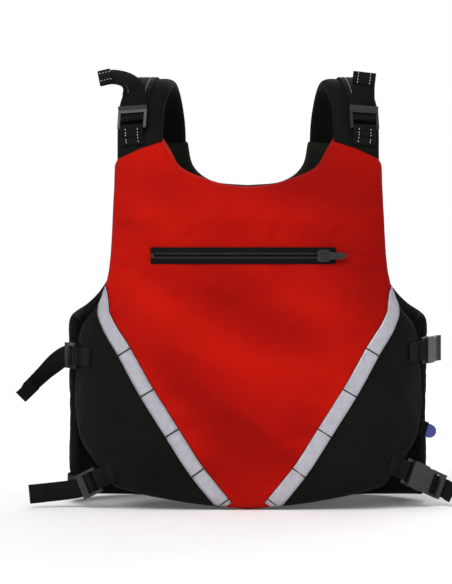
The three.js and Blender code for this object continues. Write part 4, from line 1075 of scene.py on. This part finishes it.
turns = np.linspace(-math.pi / 2, math.pi / 2, 7)
right_edge = [(PAD_HALF - 0.0065 + 0.0065 * math.cos(t), 0.0065 * math.sin(t)) for t in turns]
top = [(a, 0.0068) for a in np.linspace(PAD_HALF - 0.009, 0.009 - PAD_HALF, 14)]
section = right_edge + top + [(-a, -up) for a, up in right_edge] + [(-a, -up) for a, up in top]
for side, sign in (("left", -1), ("right", 1)):
    rows = even_rows([[on_pad(sign, a, k, up)[:] for a, up in section] for k in range(len(PAD_LINE))], 9)
    count, around = rows.shape[:2]
    faces = [f[::sign] for f in tube_faces(count, around)]
    a_of, k_of = np.tile([a for a, _ in section], count), np.repeat(np.arange(count), around)
    up_of = np.tile([up for _, up in section], count)
    flat = np.column_stack([a_of, k_of * 0.0029])
    pad = cloth_piece(f"pad_{side}", rows.reshape(-1, 3), faces, flat, black_nylon)
    sewn = np.abs(np.abs(a_of) - 0.0222) < 0.0012
    under_strap = (np.abs(a_of - 0.008) < 0.0175) & (up_of > 0)
    ends = (k_of < 9) | (k_of > count - 19)
    held = sewn | under_strap | ends | (np.abs(a_of) > 0.0285)
    settle(pad, held.astype(float), 1.5, 0.01, 0.003)
    finer = pad.modifiers.new("finer", "SUBSURF")
    finer.levels = finer.render_levels = 1
    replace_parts(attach(pad, "jacket"), f"shoulder_pad_{side}")
    for name, edge in (("inner", -0.0222), ("outer", 0.0222)):
        along = np.arange(2.2, 9.3, 0.11)
        spots = [on_pad(sign, edge, k, 0.0070) for k in along]
        lines = [(p, q - p, p - on_pad(sign, edge, k, 0)) for p, q, k in zip(spots, spots[1:], along)]
        stitches(f"pad_stitches_{side}_{name}", lines, 0.0022, 0.00024, black_thread_and_edge_shade)
print("pads made")

# %% [markdown]
# Webbing is a flat ribbon with rounded edges. It is swept along its path with its width held in the
# right direction, so that it can lie flat, twist, and turn tightly round a bar. A loose end is folded
# back on itself and sewn, so that it can't slip out of its buckle.


# %% Webbing
def sweep(name, points, wides, width, body, stands_for, folds_back=0.0, fine=3, leaves=None):
    """A ribbon along the points. One that leaves another body stays where it is made, on no body."""
    joined = np.array([[*p, *w] for p, w in zip(points, wides)])
    joined = even_rows(joined, fine)
    path = [Vector(row[:3]) for row in joined]
    across = [Vector(row[3:]) for row in joined]
    if folds_back:
        heading = (path[-1] - path[-2]).normalized()
        side = (across[-1] - heading * across[-1].dot(heading)).normalized()
        out = heading.cross(side)
        radius = WEB / 2 + LAYER
        centre = path[-1] + out * radius
        for angle in np.linspace(0.4, math.pi, 7):
            path.append(centre + heading * radius * math.sin(angle) - out * radius * math.cos(angle))
            across.append(side)
        for run in (0.25, 0.5, 0.75, 1):
            path.append(centre + out * radius - heading * folds_back * run)
            across.append(side)
    half, flat_half = width / 2, width / 2 - 0.0005
    section = [(-half, 0), (-flat_half, -0.5), (0, -0.5), (flat_half, -0.5)]
    section += [(-x, -up) for x, up in section]
    rows, stations, run = [], [], [0.0]
    for i, p in enumerate(path):
        before = (p - path[i - 1]).normalized() if i else (path[1] - p).normalized()
        after = (path[i + 1] - p).normalized() if i + 1 < len(path) else before
        heading = (before + after).normalized()
        side = (across[i] - heading * across[i].dot(heading)).normalized()
        out = heading.cross(side)
        rows.append([p + side * x + out * up * WEB for x, up in section])
        stations.append((p, heading, side, out))
        if i:
            run.append(run[-1] + (p - path[i - 1]).length)
    count = len(rows)
    flat = np.column_stack([np.tile([x for x, _ in section], count), np.repeat(run, 8)])
    spots = [p[:] for row in rows for p in row]
    piece = cloth_piece(name, spots, tube_faces(count, 8), flat, webbing)
    if leaves:
        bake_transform(piece)
    else:
        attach(piece, body)
    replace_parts(piece, *stands_for)
    return stations, run


def sewn_rows(name, strap, offsets, start, end, stitch, body="jacket", face=1):
    """Rows of stitches along a strap, on one of its two faces."""
    stations, run = strap
    pitch, length, radius, finish = stitch
    spots = []
    for offset in offsets:
        for at in np.arange(start, end, pitch):
            i = max(int(np.searchsorted(run, at)), 1)
            t = (at - run[i - 1]) / max(run[i] - run[i - 1], 1e-9)
            p = stations[i - 1][0].lerp(stations[i][0], min(max(t, 0), 1))
            _, heading, side, out = stations[i]
            spots.append((p + side * offset + out * face * (WEB / 2 + 0.0001), heading, out * face))
    stitches(name, spots, length, radius, finish, body)


# %% The path of a strap through a buckle
BAR, LEG_END = 0.0018, 0.007
LEG = LAYER + WEB / 2
TURN = BAR + LAYER + WEB / 2
BAR_HEIGHT = LEG + TURN
TAIL_HEIGHT = LEG + WEB + LAYER
BAR_B, PLUG_BAR = 0.013, 0.0515


def anchor_loop(start):
    angles = [math.radians(a) for a in range(70, -90, -15)]
    turn = [(TURN * math.cos(a), BAR_HEIGHT + TURN * math.sin(a)) for a in angles]
    top = LEG + WEB + 0.00025
    over = [(start + 0.001, top), (-0.008, top), (-0.0015, BAR_HEIGHT + TURN - 0.0002)]
    return [*over, *turn, (0, LEG), (start, LEG)]


def turn_round(bar_x):
    angles = [math.radians(a) for a in range(-90, -316, -15)]
    turn = [(bar_x + TURN * math.cos(a), BAR_HEIGHT + TURN * math.sin(a)) for a in angles]
    way_out = [(0.003, BAR_HEIGHT + 0.0003), (0.0056, TAIL_HEIGHT), (0.012, TAIL_HEIGHT)]
    way_out.append((0.020, TAIL_HEIGHT + 0.0016))
    return [(bar_x + LEG_END, LEG), *turn, *((bar_x + x, height) for x, height in way_out)]


def placed(frame_of, points):
    return [frame_of @ Vector((x, 0, z)) for x, z in points]


def width_of(frame_of):
    return frame_of.to_3x3() @ Vector((0, 1, 0))


def tail_piece(name, frame_of, bar_x, ends, width, body, stands_for, hem=0.0):
    path = placed(frame_of, turn_round(bar_x))
    lip = path[-1].copy()
    wides = [width_of(frame_of)] * len(path)
    for step, wide in ends:
        path.append(lip + Vector(step) / 1000)
        direction = Vector(wide) if wide else width_of(frame_of)
        wides.append(direction * math.copysign(1, direction.dot(wides[-1])))
    return sweep(name, path, wides, width, body, [stands_for], hem)


# %% [markdown]
# At each shoulder the webbing comes over the pad from the back, turns round the lower bar of the ladder
# lock and leaves under its lip. Below the lock a short piece is sewn into the panel. Two rows of white
# thread run along both, and along the loose end. A loose end is a few points in millimetres from the
# lip of its buckle, each with the way its width runs there.

# %% Shoulder straps
SHOULDER_ENDS = {
    "right": [((0, 1, 10), (-1, 0, 0)), ((0, 3, 24), (-1, 0, 0)), ((2, 9, 41), (-1, 0, 0))],
    "left": [
        ((1, 2, 12), (-1, 0, 0)),
        ((0, 3, 23), (-0.9, -0.3, -0.1)),
        ((-9, 4, 33), (-0.5, -0.7, -0.45)),
        ((-26, 4, 37), (-0.1, -0.8, -0.6)),
        ((-43, 4, 34), (0, -0.8, -0.6)),
    ],
}
LOCK_K, LOCK_ACROSS, ROWS = 1.9, 0.010, (-0.008, 0.008)
WHITE_ROW = (0.0042, 0.0026, 0.0004, white_thread)


def faces_out(station, frame_of):
    """1 if a strap's own outer side faces away from the body there, and -1 if not."""
    return 1 if station[3].dot(frame_of.to_3x3() @ Vector((0, 0, 1))) > 0 else -1


for side, sign in (("left", -1), ("right", 1)):
    surface = PAD_THICK / 2 + LAYER

    def pad_width(k):
        across = on_pad(sign, LOCK_ACROSS + 0.008, k, surface) - on_pad(sign, LOCK_ACROSS - 0.008, k, surface)
        return (across * sign).normalized()

    seat = on_pad(sign, LOCK_ACROSS, LOCK_K, surface)
    up = on_pad(sign, LOCK_ACROSS, LOCK_K + 0.6, surface) - seat
    lock = frame_at(seat, up, pad_width(LOCK_K).cross(up))
    path = placed(lock, anchor_loop(-0.013))
    path += [on_pad(sign, LOCK_ACROSS, k, surface + LEG) for k in (1.2, 1.05)]
    wides = [width_of(lock)] * len(path)
    anchor = f"shoulder_anchor_{side}"
    strap = sweep(f"shoulder_loop_{side}", path, wides, SHOULDER_WEB, "jacket", [anchor], fine=2)
    face, end = faces_out(strap[0][0], lock), strap[1][-1]
    sewn_rows(f"shoulder_loop_thread_{side}", strap, ROWS, 0.0005, 0.012, WHITE_ROW, face=face)
    sewn_rows(f"shoulder_foot_thread_{side}", strap, ROWS, end - 0.008, end, WHITE_ROW, face=-face)
    start = BAR_B + LEG_END + LAYER
    path = placed(lock, [(start, LEG), (start + 0.004, LEG)])
    wides = [pad_width(LOCK_K)] * 2
    for k in (3, 4, 5, 6, 7, 8, 9, 9.6):
        path.append(on_pad(sign, LOCK_ACROSS - 0.002, k, surface + LEG + 0.0005))
        wides.append(pad_width(k))
    over = f"shoulder_strap_{side}"
    strap = sweep(f"shoulder_web_{side}", path, wides, SHOULDER_WEB, "jacket", [over], fine=6)
    face, end = faces_out(strap[0][3], lock), strap[1][-1]
    sewn_rows(f"shoulder_web_thread_{side}", strap, ROWS, 0.010, end - 0.004, WHITE_ROW, face=face)
    body, tail = f"shoulder_lock_{side}", f"shoulder_tail_{side}"
    ends = SHOULDER_ENDS[side]
    strap = tail_piece(f"shoulder_end_{side}", lock, BAR_B, ends, SHOULDER_WEB, body, tail, 0.015)
    face, end = faces_out(strap[0][20], lock), strap[1][-1]
    sewn_rows(f"shoulder_end_thread_{side}", strap, ROWS, 0.034, end - 0.019, WHITE_ROW, body, face)
    sewn_rows(f"shoulder_hem_thread_{side}", strap, ROWS, end - 0.014, end - 0.001, WHITE_ROW, body, -1)
print("shoulder straps made")

# %% [markdown]
# Each side strap starts on the front panel, loops round its buckle, and comes back from the wing. Those
# on the left use ladder locks, and those on the right have a release buckle as well, whose plug pulls
# out of its socket. The loose ends hang as they were left.

# %% Side straps
SIDE_ENDS = {
    "upper_left": [
        ((-7, 4, -4), (0.1, 0, 1)),
        ((-19, 5, -14), (0.35, -0.1, 0.95)),
        ((-33, 4, -27), (0.55, -0.1, 0.85)),
        ((-61, 2, -54), (0.6, -0.1, 0.8)),
    ],
    "lower_left": [
        ((-9, 2, -2), (0, 0, 1)),
        ((-24, 2, -4), (0, 0, 1)),
        ((-44, 0, -6), (0.1, 0, 1)),
        ((-65, -2, -8), (0.12, 0, 1)),
    ],
    "upper_right": [],
    "lower_right": [((4.5, -5, -1.5), None), ((7.5, -12, -3.5), None), ((13, -18.5, -6.2), None)],
}
HEMS = {"upper_left": 0.024, "lower_left": 0.019, "upper_right": 0.0, "lower_right": 0.006}
STRAP_LEAD = 0.006  # how far before the wing's edge a strap is level with it
WING_MIDDLE = 0.28
BLACK_ROW = (0.003, 0.002, 0.00028, black_thread_and_edge_shade)
for name, (side, x, z, slope, length, strap_z, reach) in BUCKLES.items():
    buckle = side_frame(side, x, z, slope)
    s = side * round_front(x)
    path = placed(buckle, anchor_loop(-0.011))
    for back_run in (run for run in (0.014, 0.020, 0.026, 0.034) if run <= length):
        flat_run = back_run * math.cos(slope)
        path.append(front_cover.at(s - side * flat_run, z + flat_run * math.tan(slope), WEB / 2 + LAYER)[0])
    anchor = f"side_anchor_{name}" if side < 0 else f"socket_anchor_{name}"
    sweep(f"side_loop_{name}", path, [width_of(buckle)] * len(path), SIDE_WEB, "jacket", [anchor], fine=2)
    bar_x = BAR_B if side < 0 else PLUG_BAR
    start = bar_x + LEG_END + LAYER
    path = placed(buckle, [(start, LEG), (start + 0.010, LEG)])
    first = width_of(buckle) * math.copysign(1, width_of(buckle).z)
    wides = [first, first]
    landing = hard_back(-side * (WING_EDGE + STRAP_LEAD), strap_z, LEG + 0.0003)
    path.append(path[-1].lerp(landing, 0.5))
    wides.append(first + Vector((0, 0, 1)))
    folds_at = [c[0] for c in BACK_FACETS[1:-1] if c[0] > WING_EDGE - reach][::-1]
    for at in (WING_EDGE + STRAP_LEAD, *folds_at, WING_EDGE - reach):
        path.append(hard_back(-side * at, strap_z, LEG + 0.0003))
        wides.append(Vector((0, 0, 1)))
    wides = [w.normalized() for w in wides]
    over = f"side_strap_{name}" if side < 0 else f"plug_strap_{name}"
    plug = None if side < 0 else f"buckle_plug_{name}"
    strap = sweep(f"side_web_{name}", path, wides, SIDE_WEB, "jacket", [over], fine=5, leaves=plug)
    out = hard_back(-side * WING_MIDDLE, strap_z, 1) - hard_back(-side * WING_MIDDLE, strap_z, 0)
    face, end = 1 if strap[0][-1][3].dot(out) > 0 else -1, strap[1][-1]
    for row, offsets in (("ends", (-0.0095, 0.0095)), ("middle", (-0.004, 0.004))):
        thread_name = f"side_web_thread_{name}_{row}"
        sewn_rows(thread_name, strap, offsets, end - 0.024, end - 0.002, BLACK_ROW, face=face)
    body = f"side_lock_{name}" if side < 0 else f"buckle_plug_{name}"
    tail = f"side_tail_{name}" if side < 0 else f"plug_tail_{name}"
    tail_piece(f"side_end_{name}", buckle, bar_x, SIDE_ENDS[name], SIDE_WEB, body, tail, HEMS[name])
print("side straps made")
